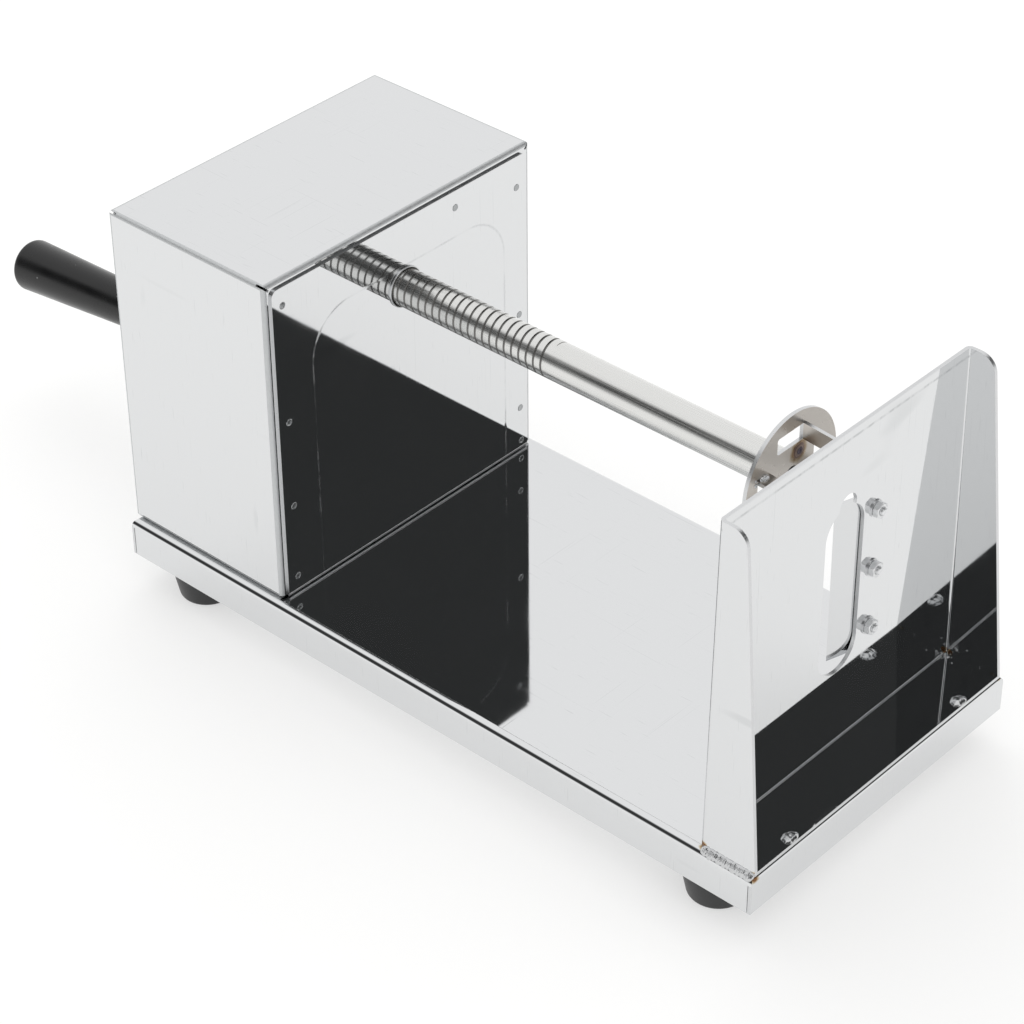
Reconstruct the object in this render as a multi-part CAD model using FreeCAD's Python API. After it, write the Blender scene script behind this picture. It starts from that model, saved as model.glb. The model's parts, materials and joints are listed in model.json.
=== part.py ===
"""Hand-cranked spiral potato cutter, built as an assembly of separate pieces.

A folded steel tray on rubber feet carries a sheet housing at its rear end and an upright
blade plate at its front end. A hollow drive screw runs through the housing: a crank turns
it in a fixed nut, so it feeds a pronged disc, with the potato on it, towards the blade.

Working frame: X runs from the tray's rear edge towards the blade, Y across, Z up, with the
floor at Z = 0. Each piece is moved to the middle of the whole length when it is written,
so the origin of the model is the bottom centre of its box. All lengths are millimetres.
"""

import FreeCAD
import Part
import math
import os

# ---------------------------------------------------------------- driving dimensions

# Base tray: one sheet folded down on four sides, with a return lip along each long side
TRAY_LENGTH = 315.5
TRAY_WIDTH = 150.0
SKIRT_DEPTH = 16.0
TRAY_SHEET = 1.2
TRAY_SIDE_BEND = 3.2     # outside radius of the two long folds
TRAY_END_BEND = 2.0      # and of the two end folds
LIP_WIDTH = 30.0
LIP_SETBACK = 8.0        # the lips stop short of the end skirts
CORNER_SEAM = 0.3        # open joint where the side skirts meet the end skirts

# Rubber feet under the lips
FOOT_HEIGHT = 14.0
FOOT_TOP_DIA = 28.0
FOOT_BOTTOM_DIA = 22.4
FOOT_EDGE = 1.2          # bevel of the foot's lower rim
FOOT_INSET_X = 26.0
FOOT_INSET_Y = 15.0
FOOT_WEB = 7.7           # rubber between the screw's head and the lip

# Housing: a folded shell with in-turned frames at both ends, each covered by a panel
HOUSING_DEPTH = 83.0     # of the shell; each panel lies on its frame
HOUSING_OVERHANG = 1.0   # of the shell behind the tray's rear edge
HOUSING_INSET = 3.6      # from each side of the tray
HOUSING_ABOVE_AXIS = 32.0
HOUSING_SHEET = 1.0
HOUSING_TOP_BEND = 1.6   # outside radius of the two folds along the top
HOUSING_END_BEND = 1.6   # and of the folds round both ends
HOUSING_FOOT_BEND = 2.0  # and of the folds at the foot of each wall
FRAME_SIDE = 17.0        # width of the frame down each side
FRAME_TOP = 23.0
FRAME_CORNER = 20.0      # radius of the frame opening's upper corners
FLANGE_WIDTH = 15.0      # in-turned foot of each housing wall
HOUSING_SCREW_INSET = 20.0
PANEL_INSET = 3.0        # of a panel from the shell's sides
PANEL_TOP_INSET = 3.0    # and from its top
PANEL_CORNER = 3.0
PANEL_LIFT = 1.3         # gap between the tray and the lower edge of panels and frames
RELIEF_WIDTH = 0.9       # slit that parts the folds at each upper corner
RELIEF_LENGTH = 4.0

# Drive screw: a tube, threaded over its rear part, so the skewer can slide into it
AXIS_HEIGHT = 109.0      # above the tray's top
SCREW_DIA = 15.0
SCREW_BORE = 9.0
SCREW_PITCH = 3.6
SCREW_TURNS = 36         # full turns between the front and the rear stop
DISC_STOP = 24.2         # from the disc's face to the blade plate, with the screw fully forward
RUN = 0.05               # radial clearance of a running fit
STOP_GAP = 0.2           # axial play where two faces meet as a stop

# Fixed nut and front bush
NUT_PLATE_SHEET = 3.0
NUT_PLATE_MARGIN = 5.0   # of the plate above and below the nut's flange
NUT_PLATE_CLEAR = 2.0    # from the plate's ends to the housing's walls
NUT_NOSE_WALL = 3.5
NUT_NOSE_OUT = 3.0       # of the nose behind the shell, so it stands proud of the rear panel
NUT_FLANGE_RIM = 8.0     # width of the flange round the body
NUT_FLANGE = 4.0
NUT_BODY_WALL = 7.5
NUT_BODY = 16.0
BUSH_WALL = 0.95
BUSH_LENGTH = 20.0
BUSH_OUT = 1.6           # the bush stands proud of the front panel

# Thrust washer, held on the screw by a clip that sits in its recess
THRUST_RIM = 2.7         # width of the washer's front rim, round the recess
THRUST_THICK = 4.0
RECESS_DEPTH = 1.7
CLIP_WIDTH = 2.8         # of the clip's ring, across
CLIP_THICK = 1.2
CLIP_GROOVE = 0.5        # depth of the clip's groove in the tube
CLIP_GAP = 4.0           # opening of the clip's ring
CLIP_ROOM = 0.5          # radial room round the clip in its recess

# Pronged disc
DISC_DIA = 50.5
DISC_SHEET = 1.5
SKEWER_HOLE_DIA = 7.0
WINDOW_LENGTH = 14.2
WINDOW_WIDTH = 6.6
WINDOW_OFFSET = 15.6     # from the axis to the middle of a window
WINDOW_SHIFT = 1.6       # each window sits a little behind its prong
WINDOW_CORNER = 1.0
PRONG_COUNT = 4
PRONG_LEAN = 5.0         # degrees that a prong leans back over its window
PRONG_TIP = 2.4          # width of a prong's tip
PRONG_POINT = 3.0        # length over which a prong narrows to its tip
PLUG_WELD_DIA = 6.8
PLUG_WELD_RADIUS = 9.2   # from the axis
PLUG_WELD_ANGLE = 68.0   # degrees from the Y axis to the first weld
PLUG_WELD_RISE = 0.6

# Crank
HUB_WALL = 5.0
HUB_LENGTH = 9.5
HUB_CHAMFER = 1.0
SET_SCREW_DIA = 5.0
SET_SCREW_LENGTH = 4.6
SET_SCREW_KEY = 2.5      # across the flats of its socket
SET_SCREW_KEY_DEPTH = 2.4
ARM_THICK = 5.0
ARM_END_RADIUS = 10.0
ARM_BEND_DROP = 18.0     # from the axis down to the arm's bend
CRANK_RADIUS = 72.0
GRIP_LEAN = 4.8          # degrees that the grip splays out from the screw's axis
SPINDLE_DIA = 8.0
SPINDLE_REACH = 92.0     # length inside the grip
SPINDLE_CHAMFER = 0.8
SPINDLE_WASHER_RIM = 4.0 # width of the washer round the spindle
SPINDLE_WASHER = 1.2
SPINDLE_NUT = 5.0
SPINDLE_NUT_WALL = 2.5   # across a flat
GRIP_LENGTH = 123.5
GRIP_DIA = 22.6
GRIP_WAIST_DIA = 15.6
GRIP_COLLAR_DIA = 20.0
GRIP_COLLAR = 5.0        # length of the collar
GRIP_WAIST_AT = 14.0     # from the grip's inner end
GRIP_CHAMFER = 0.8
GRIP_END_CHAMFER = 1.2
GRIP_PLAY = 0.3
GRIP_BORE_SPARE = 2.0    # the bore is deeper than the spindle reaches
GRIP_POCKET_SPARE = 0.4  # room round the clip
GRIP_CLIP_RIM = 0.9      # the clip stands this far out of the spindle
GRIP_CLIP_GROOVE = 0.5   # and sits this deep in it
GRIP_CLIP_GAP = 3.0      # opening of the clip's ring
GRIP_CLIP = 1.2
GRIP_CLIP_INSET = 4.0    # from the spindle's outer end

# Blade plate: one sheet folded forward at its foot and at both sides
PLATE_SETBACK = 23.5     # of the plate's front face from the tray's front edge
PLATE_SHEET = 1.5
PLATE_ABOVE_AXIS = 29.7
PLATE_INSET = 2.2        # from each side of the tray, at the foot
PLATE_TAPER = 3.6        # the top is this much further in on each side
PLATE_BEND = 2.2
FLANGE_SETBACK = 0.4     # of the foot flange's end from the tray's front edge
WING_TOP = 10.5          # wing width at its top, from the plate's front face
WING_CORNER = 7.0
SLOT_WIDTH = 21.8
SLOT_LENGTH = 72.8
SLOT_BELOW_AXIS = 2.0    # the slot's upper end
SKEWER_EYE_DIA = 9.7     # round notch at the slot's top
SKEWER_EYE_BELOW = 2.1   # its centre under the screw's axis
SKEWER_EYE_SIDE = 0.9    # and beside it

# Slicing blade behind the slot
BLADE_SHEET = 1.2
BLADE_BELOW_AXIS = 4.6   # the blade's upper end
BLADE_LENGTH = 68.2
BLADE_CORNER = 2.4
BLADE_OUTER_Y = 27.0
BLADE_BEND_Y = 12.0
BLADE_SLOPE = 0.3        # rise of the raised web per unit of width
EDGE_TOP_Y = 0.0
EDGE_BOTTOM_Y = 0.7
BEVEL = 3.0
BOLT_ROW_Y = 17.6
BOLT_PITCH = 25.7
BOLT_COUNT = 3
TOP_BOLT_BELOW_AXIS = 12.1
BLADE_BOLT_SPARE = 1.0   # of each blade bolt past its nut

# Fasteners: shank, head diameter, head height, nut across flats, nut height
M3 = (3.0, 5.8, 2.2, 5.5, 2.4)
M4 = (4.0, 8.0, 2.6, 7.0, 3.2)
HOLE_SLACK = 0.3         # a clearance hole's diameter over its screw
NUT_SLACK = 0.1          # a nut's bore over its screw
M3_WASHER_DIA = 7.0
M3_WASHER = 0.5
M4_WASHER_DIA = 9.0
M4_WASHER = 0.8
THREAD_PAST_NUT = 1.6

# Welds that hold the blade plate down
BEAD_RADIUS = 2.2
TACK_RADIUS = 3.2
TACK_RISE = 1.3
TACK_Y = 50.0
TACK_SETBACK = 1.0       # of a tack's middle from the flange's end

# ---------------------------------------------------------------- derived places

DECK = FOOT_HEIGHT + SKIRT_DEPTH                      # top of the tray
AXIS_Z = DECK + AXIS_HEIGHT
HALF_TRAY = TRAY_WIDTH / 2
HALF_HOUSING = HALF_TRAY - HOUSING_INSET
HOUSING_TOP = AXIS_Z + HOUSING_ABOVE_AXIS
HOUSING_REAR = -HOUSING_OVERHANG
HOUSING_FRONT = HOUSING_REAR + HOUSING_DEPTH

SCREW_RADIUS = SCREW_DIA / 2
RUNNING_BORE = SCREW_DIA + 2 * RUN
BUSH_DIA = RUNNING_BORE + 2 * BUSH_WALL
NUT_NOSE_DIA = SCREW_DIA + 2 * NUT_NOSE_WALL
NUT_BODY_DIA = SCREW_DIA + 2 * NUT_BODY_WALL
NUT_FLANGE_DIA = NUT_BODY_DIA + 2 * NUT_FLANGE_RIM
NUT_PCD = NUT_BODY_DIA + NUT_FLANGE_RIM
NUT_PLATE_HALF = NUT_FLANGE_DIA / 2 + NUT_PLATE_MARGIN
CLIP_INNER_DIA = SCREW_DIA - 2 * CLIP_GROOVE
CLIP_DIA = CLIP_INNER_DIA + 2 * CLIP_WIDTH
RECESS_DIA = CLIP_DIA + 2 * CLIP_ROOM
THRUST_DIA = RECESS_DIA + 2 * THRUST_RIM
HUB_DIA = SCREW_DIA + 2 * HUB_WALL
SPINDLE_WASHER_DIA = SPINDLE_DIA + 2 * SPINDLE_WASHER_RIM
SPINDLE_NUT_FLATS = SPINDLE_DIA + 2 * SPINDLE_NUT_WALL
GRIP_CLIP_DIA = SPINDLE_DIA + 2 * GRIP_CLIP_RIM
GRIP_CLIP_INNER_DIA = SPINDLE_DIA - 2 * GRIP_CLIP_GROOVE

PLATE_FACE_X = TRAY_LENGTH - PLATE_SETBACK
PLATE_BACK_X = PLATE_FACE_X - PLATE_SHEET
PLATE_TOP = AXIS_Z + PLATE_ABOVE_AXIS
PLATE_HALF_BOTTOM = HALF_TRAY - PLATE_INSET
FLANGE_END_X = TRAY_LENGTH - FLANGE_SETBACK
DISC_FACE_X = PLATE_FACE_X - DISC_STOP
DISC_BACK_X = DISC_FACE_X - DISC_SHEET

REAR_PANEL_X = HOUSING_REAR - HOUSING_SHEET            # outer face of the rear panel
PANEL_FACE_X = HOUSING_FRONT + HOUSING_SHEET          # outer face of the front panel
NUT_PLATE_X = HOUSING_REAR + HOUSING_SHEET            # against the rear frame's inner face
NUT_FLANGE_X = NUT_PLATE_X + NUT_PLATE_SHEET
NUT_BODY_X = NUT_FLANGE_X + NUT_FLANGE

NUT_NOSE_X = HOUSING_REAR - NUT_NOSE_OUT
THRUST_FRONT = NUT_NOSE_X - STOP_GAP
THRUST_BACK = THRUST_FRONT - THRUST_THICK
CLIP_BACK = THRUST_FRONT - RECESS_DEPTH + RUN
HUB_FRONT = THRUST_BACK - STOP_GAP
ARM_FRONT = HUB_FRONT - HUB_LENGTH
HUB_MIDDLE = FreeCAD.Vector((ARM_FRONT + HUB_FRONT) / 2, 0, AXIS_Z)
ARM_BACK = ARM_FRONT - ARM_THICK

LEAN = math.radians(GRIP_LEAN)
GRIP_DIR = FreeCAD.Vector(-math.cos(LEAN), 0, -math.sin(LEAN))     # from the arm outwards
ARM_DIR = FreeCAD.Vector(math.sin(LEAN), 0, -math.cos(LEAN))       # down the arm's lower part
BEND_POINT = FreeCAD.Vector(ARM_BACK, 0, AXIS_Z - ARM_BEND_DROP)
ARM_REACH = (CRANK_RADIUS - ARM_BEND_DROP) / math.cos(LEAN)
PIVOT = BEND_POINT + ARM_DIR * ARM_REACH                           # on the arm's rear face
GRIP_START = PIVOT + GRIP_DIR * (SPINDLE_WASHER + GRIP_PLAY)
GRIP_END = GRIP_START + GRIP_DIR * GRIP_LENGTH
REAR_END_X = GRIP_END.x - (GRIP_DIA / 2 - GRIP_END_CHAMFER) * math.sin(LEAN)
ORIGIN_X = (TRAY_LENGTH + REAR_END_X) / 2

BLADE_TOP = AXIS_Z - BLADE_BELOW_AXIS
BLADE_BOTTOM = BLADE_TOP - BLADE_LENGTH
BOLT_HEIGHTS = [AXIS_Z - TOP_BOLT_BELOW_AXIS - i * BOLT_PITCH for i in range(BOLT_COUNT)]

FOOT_PLACES = {
    "rear_near": (FOOT_INSET_X, -HALF_TRAY + FOOT_INSET_Y),
    "rear_far": (FOOT_INSET_X, HALF_TRAY - FOOT_INSET_Y),
    "front_near": (TRAY_LENGTH - FOOT_INSET_X, -HALF_TRAY + FOOT_INSET_Y),
    "front_far": (TRAY_LENGTH - FOOT_INSET_X, HALF_TRAY - FOOT_INSET_Y),
}
HOUSING_SCREW_X = (HOUSING_REAR + HOUSING_SCREW_INSET, HOUSING_FRONT - HOUSING_SCREW_INSET)
HOUSING_SCREW_Y = HALF_HOUSING - HOUSING_SHEET - FLANGE_WIDTH / 2
HOUSING_SCREW_PLACES = [(x, side * HOUSING_SCREW_Y) for x in HOUSING_SCREW_X for side in (-1, 1)]
NUT_SCREW_PLACES = [
    (NUT_PCD / 2 * math.cos(math.radians(a)), AXIS_Z + NUT_PCD / 2 * math.sin(math.radians(a)))
    for a in (45, 135, 225, 315)
]

X_AXIS = FreeCAD.Vector(1, 0, 0)
Y_AXIS = FreeCAD.Vector(0, 1, 0)
Z_AXIS = FreeCAD.Vector(0, 0, 1)


# ---------------------------------------------------------------- shape helpers

def point(x, y, z):
    return FreeCAD.Vector(x, y, z)


def block(x, y, z):
    """A box from three (low, high) pairs."""
    return Part.makeBox(x[1] - x[0], y[1] - y[0], z[1] - z[0], point(x[0], y[0], z[0]))


def rod(start, direction, length, dia):
    return Part.makeCylinder(dia / 2, length, start, direction)


def ring(start, direction, length, outer_dia, inner_dia):
    return rod(start, direction, length, outer_dia).cut(rod(start, direction, length, inner_dia))


def prism(points, direction):
    """A solid from the outline through the points, pushed along direction."""
    outline = Part.makePolygon(points + [points[0]])
    return Part.Face(outline).extrude(direction)


def turned(profile, start, direction):
    """A solid turned about an axis. The profile is (distance along the axis, radius) points."""
    corners = [point(along_axis, radius, 0) for along_axis, radius in profile]
    outline = Part.makePolygon(corners + [corners[0]])
    return place_along(Part.Face(outline).revolve(point(0, 0, 0), X_AXIS, 360), start, direction)


def place_along(shape, start, direction):
    """Carry a shape from the X axis at the origin to a start point and a direction."""
    shape = shape.copy()
    shape.Placement = FreeCAD.Placement(start, FreeCAD.Rotation(X_AXIS, direction))
    return shape


def edges_where(shape, test):
    return [e for e in shape.Edges if test(e)]


def along(edge, axis):
    """Is a straight edge parallel to an axis?"""
    ends = [v.Point for v in edge.Vertexes]
    return len(ends) == 2 and abs((ends[1] - ends[0]).normalize().dot(axis)) > 0.999


def rims(shape, start, direction):
    """The round edges that lie in the plane through start, square to direction."""
    height = start.dot(direction)
    round_edges = [e for e in shape.Edges if isinstance(e.Curve, Part.Circle)]
    return [e for e in round_edges if abs(e.Curve.Center.dot(direction) - height) < 1e-6]


def level(edge, axis, value):
    """Do both ends of an edge lie at that value along the axis?"""
    return all(abs(v.Point.dot(axis) - value) < 1e-6 for v in edge.Vertexes)


def folded_block(x, y, z, folds):
    """A block whose upper edges, or the upright ones for a fold along Z, are rounded. Each
    fold is (direction of its edges, radius), and the corners where folds meet stay mitred."""
    folded = block(x, y, z)
    for direction, radius in folds:
        plain = block(x, y, z)
        edges = edges_where(
            plain,
            lambda e: along(e, direction) and (direction is Z_AXIS or level(e, Z_AXIS, z[1])),
        )
        folded = folded.common(plain.makeFillet(radius, edges))
    return folded


def hexagon(start, direction, height, flats):
    corner = flats / math.sqrt(3)
    corners = [
        point(0, corner * math.cos(math.radians(a)), corner * math.sin(math.radians(a)))
        for a in range(0, 360, 60)
    ]
    return place_along(prism(corners, X_AXIS * height), start, direction)


def hex_nut(start, direction, height, flats, bore):
    return hexagon(start, direction, height, flats).cut(rod(start, direction, height, bore))


def round_screw(start, direction, size, length):
    """A plain screw: its head stands behind start, its shank runs along direction."""
    shank, head_dia, head, _, _ = size
    profile = [
        (-head, 0), (-head, head_dia / 2), (0, head_dia / 2),
        (0, shank / 2), (length, shank / 2), (length, 0),
    ]
    return turned(profile, start, direction)


def nut_of(start, direction, size):
    return hex_nut(start, direction, size[4], size[3], size[0] + NUT_SLACK)


def clearance(size):
    return size[0] + HOLE_SLACK


# ---------------------------------------------------------------- base and feet

def base_tray():
    """A sheet folded down on four sides; the outer and inner forms share the fold centres."""
    outer = folded_block(
        (0, TRAY_LENGTH), (-HALF_TRAY, HALF_TRAY), (FOOT_HEIGHT, DECK),
        [(X_AXIS, TRAY_SIDE_BEND), (Y_AXIS, TRAY_END_BEND)],
    )
    underside = DECK - TRAY_SHEET
    inner = folded_block(
        (TRAY_SHEET, TRAY_LENGTH - TRAY_SHEET),
        (-HALF_TRAY + TRAY_SHEET, HALF_TRAY - TRAY_SHEET),
        (FOOT_HEIGHT - 1, underside),
        [(X_AXIS, TRAY_SIDE_BEND - TRAY_SHEET), (Y_AXIS, TRAY_END_BEND - TRAY_SHEET)],
    )
    tray = outer.cut(inner)
    for side in (-1, 1):
        lip_y = sorted((side * (HALF_TRAY - TRAY_SHEET / 2), side * (HALF_TRAY - LIP_WIDTH)))
        lip = block(
            (LIP_SETBACK, TRAY_LENGTH - LIP_SETBACK), lip_y,
            (FOOT_HEIGHT, FOOT_HEIGHT + TRAY_SHEET),
        )
        tray = tray.fuse(lip)
        seam_y = sorted((side * (HALF_TRAY - TRAY_SHEET), side * (HALF_TRAY + 1)))
        seam_top = DECK - TRAY_SIDE_BEND
        for x in (TRAY_SHEET, TRAY_LENGTH - TRAY_SHEET - CORNER_SEAM):
            tray = tray.cut(block((x, x + CORNER_SEAM), seam_y, (FOOT_HEIGHT - 1, seam_top)))
    for x, y in FOOT_PLACES.values():
        tray = tray.cut(rod(point(x, y, FOOT_HEIGHT - 1), Z_AXIS, TRAY_SHEET + 2, clearance(M4)))
    for x, y in HOUSING_SCREW_PLACES:
        tray = tray.cut(rod(point(x, y, underside - 1), Z_AXIS, TRAY_SHEET + 2, clearance(M4)))
    return tray.removeSplitter()


FOOT_BORE_FLOOR = FOOT_HEIGHT - FOOT_WEB              # where the screw's head seats


def rubber_foot(x, y):
    """A cone, narrow end down, bored for its screw and counterbored for the head."""
    top, bottom = FOOT_TOP_DIA / 2, FOOT_BOTTOM_DIA / 2
    bore = clearance(M4) / 2
    pocket = M4[1] / 2 + HOLE_SLACK
    profile = [
        (0, pocket), (0, bottom - FOOT_EDGE), (FOOT_EDGE, bottom), (FOOT_HEIGHT, top),
        (FOOT_HEIGHT, bore), (FOOT_BORE_FLOOR, bore), (FOOT_BORE_FLOOR, pocket),
    ]
    return turned(profile, point(x, y, 0), Z_AXIS)


FOOT_NUT_Z = FOOT_HEIGHT + TRAY_SHEET + M4_WASHER


def foot_screw(x, y):
    length = FOOT_NUT_Z + M4[4] + THREAD_PAST_NUT - FOOT_BORE_FLOOR
    return round_screw(point(x, y, FOOT_BORE_FLOOR), Z_AXIS, M4, length)


def foot_washer(x, y):
    start = point(x, y, FOOT_HEIGHT + TRAY_SHEET)
    return ring(start, Z_AXIS, M4_WASHER, M4_WASHER_DIA, clearance(M4))


def foot_nut(x, y):
    return nut_of(point(x, y, FOOT_NUT_Z), Z_AXIS, M4)


# ---------------------------------------------------------------- housing

def frame_opening(x):
    """The hole inside a housing frame: open at the bottom, with round upper corners."""
    half = HALF_HOUSING - HOUSING_SHEET - FRAME_SIDE
    top = HOUSING_TOP - FRAME_TOP
    hole = block(x, (-half, half), (DECK - 1, top))
    upper = edges_where(hole, lambda e: along(e, X_AXIS) and level(e, Z_AXIS, top))
    return hole.makeFillet(FRAME_CORNER, upper)


def wall_feet(shape, half, low, radius):
    """Round the edge at the foot of each wall, where it folds in under the housing."""
    feet = edges_where(
        shape,
        lambda e: level(e, Z_AXIS, low) and (level(e, Y_AXIS, half) or level(e, Y_AXIS, -half)),
    )
    return shape.makeFillet(radius, feet)


def housing_shell():
    """Top, two walls and a frame at each end, all of one sheet: the outer form less the inner."""
    whole = (HOUSING_REAR, HOUSING_FRONT), (-HALF_HOUSING, HALF_HOUSING), (DECK, HOUSING_TOP)
    outer = folded_block(
        *whole,
        [(X_AXIS, HOUSING_TOP_BEND), (Y_AXIS, HOUSING_END_BEND), (Z_AXIS, HOUSING_END_BEND)],
    )
    outer = outer.common(wall_feet(block(*whole), HALF_HOUSING, DECK, HOUSING_FOOT_BEND))
    sheet = HOUSING_SHEET
    within = (
        (HOUSING_REAR + sheet, HOUSING_FRONT - sheet), (-HALF_HOUSING + sheet, HALF_HOUSING - sheet),
        (DECK + sheet, HOUSING_TOP - sheet),
    )
    inner = folded_block(*within, [
        (X_AXIS, HOUSING_TOP_BEND - sheet), (Y_AXIS, HOUSING_END_BEND - sheet),
        (Z_AXIS, HOUSING_END_BEND - sheet),
    ])
    inner = inner.common(
        wall_feet(block(*within), HALF_HOUSING - sheet, DECK + sheet, HOUSING_FOOT_BEND - sheet)
    )
    shell = outer.cut(inner)
    for x in (HOUSING_REAR - 1, HOUSING_FRONT - sheet - 1):
        shell = shell.cut(frame_opening((x, x + sheet + 2)))
    foot_half = HALF_HOUSING - sheet - FLANGE_WIDTH
    length = (HOUSING_REAR - 1, HOUSING_FRONT + 1)
    shell = shell.cut(block(length, (-foot_half, foot_half), (DECK - 1, DECK + PANEL_LIFT)))
    for x in (HOUSING_REAR - 1, HOUSING_FRONT - HOUSING_END_BEND):
        end = (x, x + HOUSING_END_BEND + 1)
        shell = shell.cut(block(end, (-HALF_HOUSING, HALF_HOUSING), (DECK - 1, DECK + PANEL_LIFT)))
    for x in (HOUSING_REAR - 1, HOUSING_FRONT - RELIEF_LENGTH):
        for side in (-1, 1):
            shell = shell.cut(corner_slit(x, side))
    for x, y in HOUSING_SCREW_PLACES:
        shell = shell.cut(rod(point(x, y, DECK - 1), Z_AXIS, sheet + 2, clearance(M4)))
    shell = shell.cut(axis_hole(HOUSING_REAR, sheet, NUT_NOSE_DIA))
    shell = shell.cut(axis_hole(HOUSING_FRONT - sheet, sheet, BUSH_DIA))
    return nut_screw_holes(shell, HOUSING_REAR, sheet).removeSplitter()


def corner_slit(x, side):
    """The cutter for the slit that parts the folds at one upper corner, seen along X."""
    half = RELIEF_WIDTH / math.sqrt(8)
    deep = HOUSING_TOP_BEND + HOUSING_SHEET
    corners = [
        (1 + half, 1 - half), (1 - half, 1 + half),
        (-deep - half, -deep + half), (-deep + half, -deep - half),
    ]
    outline = [point(x, side * (HALF_HOUSING + out), HOUSING_TOP + up) for out, up in corners]
    return prism(outline, X_AXIS * (RELIEF_LENGTH + 1))


def cover_panel(x):
    """The sheet that lies on one end's frame, inside the round of its folds."""
    half = HALF_HOUSING - PANEL_INSET
    top = HOUSING_TOP - PANEL_TOP_INSET
    panel = block((x, x + HOUSING_SHEET), (-half, half), (DECK + PANEL_LIFT, top))
    upper = edges_where(panel, lambda e: along(e, X_AXIS) and level(e, Z_AXIS, top))
    return panel.makeFillet(PANEL_CORNER, upper)


def axis_hole(x, length, dia):
    """A cylinder on the screw's axis, used as a hole or as a turned form."""
    return rod(point(x, 0, AXIS_Z), X_AXIS, length, dia)


def front_panel():
    return cover_panel(HOUSING_FRONT).cut(axis_hole(HOUSING_FRONT, HOUSING_SHEET, BUSH_DIA))


def nut_screw_holes(shape, x, length):
    for y, z in NUT_SCREW_PLACES:
        shape = shape.cut(rod(point(x, y, z), X_AXIS, length, clearance(M4)))
    return shape


def rear_panel():
    panel = cover_panel(REAR_PANEL_X)
    panel = panel.cut(axis_hole(REAR_PANEL_X, HOUSING_SHEET, NUT_NOSE_DIA))
    return nut_screw_holes(panel, REAR_PANEL_X, HOUSING_SHEET)


def nut_plate():
    half = HALF_HOUSING - HOUSING_SHEET - NUT_PLATE_CLEAR
    low, high = AXIS_Z - NUT_PLATE_HALF, AXIS_Z + NUT_PLATE_HALF
    plate = block((NUT_PLATE_X, NUT_FLANGE_X), (-half, half), (low, high))
    plate = plate.cut(axis_hole(NUT_PLATE_X, NUT_PLATE_SHEET, NUT_NOSE_DIA))
    return nut_screw_holes(plate, NUT_PLATE_X, NUT_PLATE_SHEET)


def thread_nut():
    nut = axis_hole(NUT_NOSE_X, NUT_FLANGE_X - NUT_NOSE_X, NUT_NOSE_DIA)
    nut = nut.fuse(axis_hole(NUT_FLANGE_X, NUT_FLANGE, NUT_FLANGE_DIA))
    nut = nut.fuse(axis_hole(NUT_BODY_X, NUT_BODY, NUT_BODY_DIA))
    nut = nut.cut(axis_hole(NUT_NOSE_X, NUT_BODY_X + NUT_BODY - NUT_NOSE_X, RUNNING_BORE))
    return nut_screw_holes(nut, NUT_FLANGE_X, NUT_FLANGE).removeSplitter()


def nut_screws():
    length = NUT_BODY_X - REAR_PANEL_X + M4[4] + THREAD_PAST_NUT
    return [round_screw(point(REAR_PANEL_X, y, z), X_AXIS, M4, length) for y, z in NUT_SCREW_PLACES]


def nut_screw_nuts():
    return [nut_of(point(NUT_BODY_X, y, z), X_AXIS, M4) for y, z in NUT_SCREW_PLACES]


def front_bush():
    start = point(PANEL_FACE_X + BUSH_OUT - BUSH_LENGTH, 0, AXIS_Z)
    return ring(start, X_AXIS, BUSH_LENGTH, BUSH_DIA, RUNNING_BORE)


def housing_screws():
    start_z = DECK - TRAY_SHEET
    length = TRAY_SHEET + HOUSING_SHEET + M4[4] + THREAD_PAST_NUT
    return [round_screw(point(x, y, start_z), Z_AXIS, M4, length) for x, y in HOUSING_SCREW_PLACES]


def housing_nuts():
    return [nut_of(point(x, y, DECK + HOUSING_SHEET), Z_AXIS, M4) for x, y in HOUSING_SCREW_PLACES]


# ---------------------------------------------------------------- blade plate and blade

def plate_section(inset, lift, top):
    """The plate's outline seen along X, drawn in by inset at the sides and up by lift."""
    slope = PLATE_TAPER / (PLATE_TOP - DECK)

    def half(z):
        return PLATE_HALF_BOTTOM - slope * (z - DECK) - inset

    low = DECK + lift
    return [(-half(low), low), (half(low), low), (half(top), top), (-half(top), top)]


def plate_solid(x_low, x_high, inset, lift, top, bend):
    """The block that the plate's section sweeps out, with its three rear folds rounded."""
    section = [point(x_low, y, z) for y, z in plate_section(inset, lift, top)]
    solid = prism(section, X_AXIS * (x_high - x_low))
    rear = edges_where(
        solid, lambda e: level(e, X_AXIS, x_low) and not level(e, Z_AXIS, top)
    )
    return solid.makeFillet(bend, rear)


def slot_cutter():
    """The slot: round at both ends, with a smaller round eye at its top for the skewer."""
    radius = SLOT_WIDTH / 2
    x = PLATE_BACK_X - 1
    depth = PLATE_SHEET + 2
    high = AXIS_Z - SLOT_BELOW_AXIS - radius
    low = AXIS_Z - SLOT_BELOW_AXIS - SLOT_LENGTH + radius
    slot = block((x, x + depth), (-radius, radius), (low, high))
    for z in (low, high):
        slot = slot.fuse(rod(point(x, 0, z), X_AXIS, depth, SLOT_WIDTH))
    eye = point(x, SKEWER_EYE_SIDE, AXIS_Z - SKEWER_EYE_BELOW)
    return slot.fuse(rod(eye, X_AXIS, depth, SKEWER_EYE_DIA))


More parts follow.
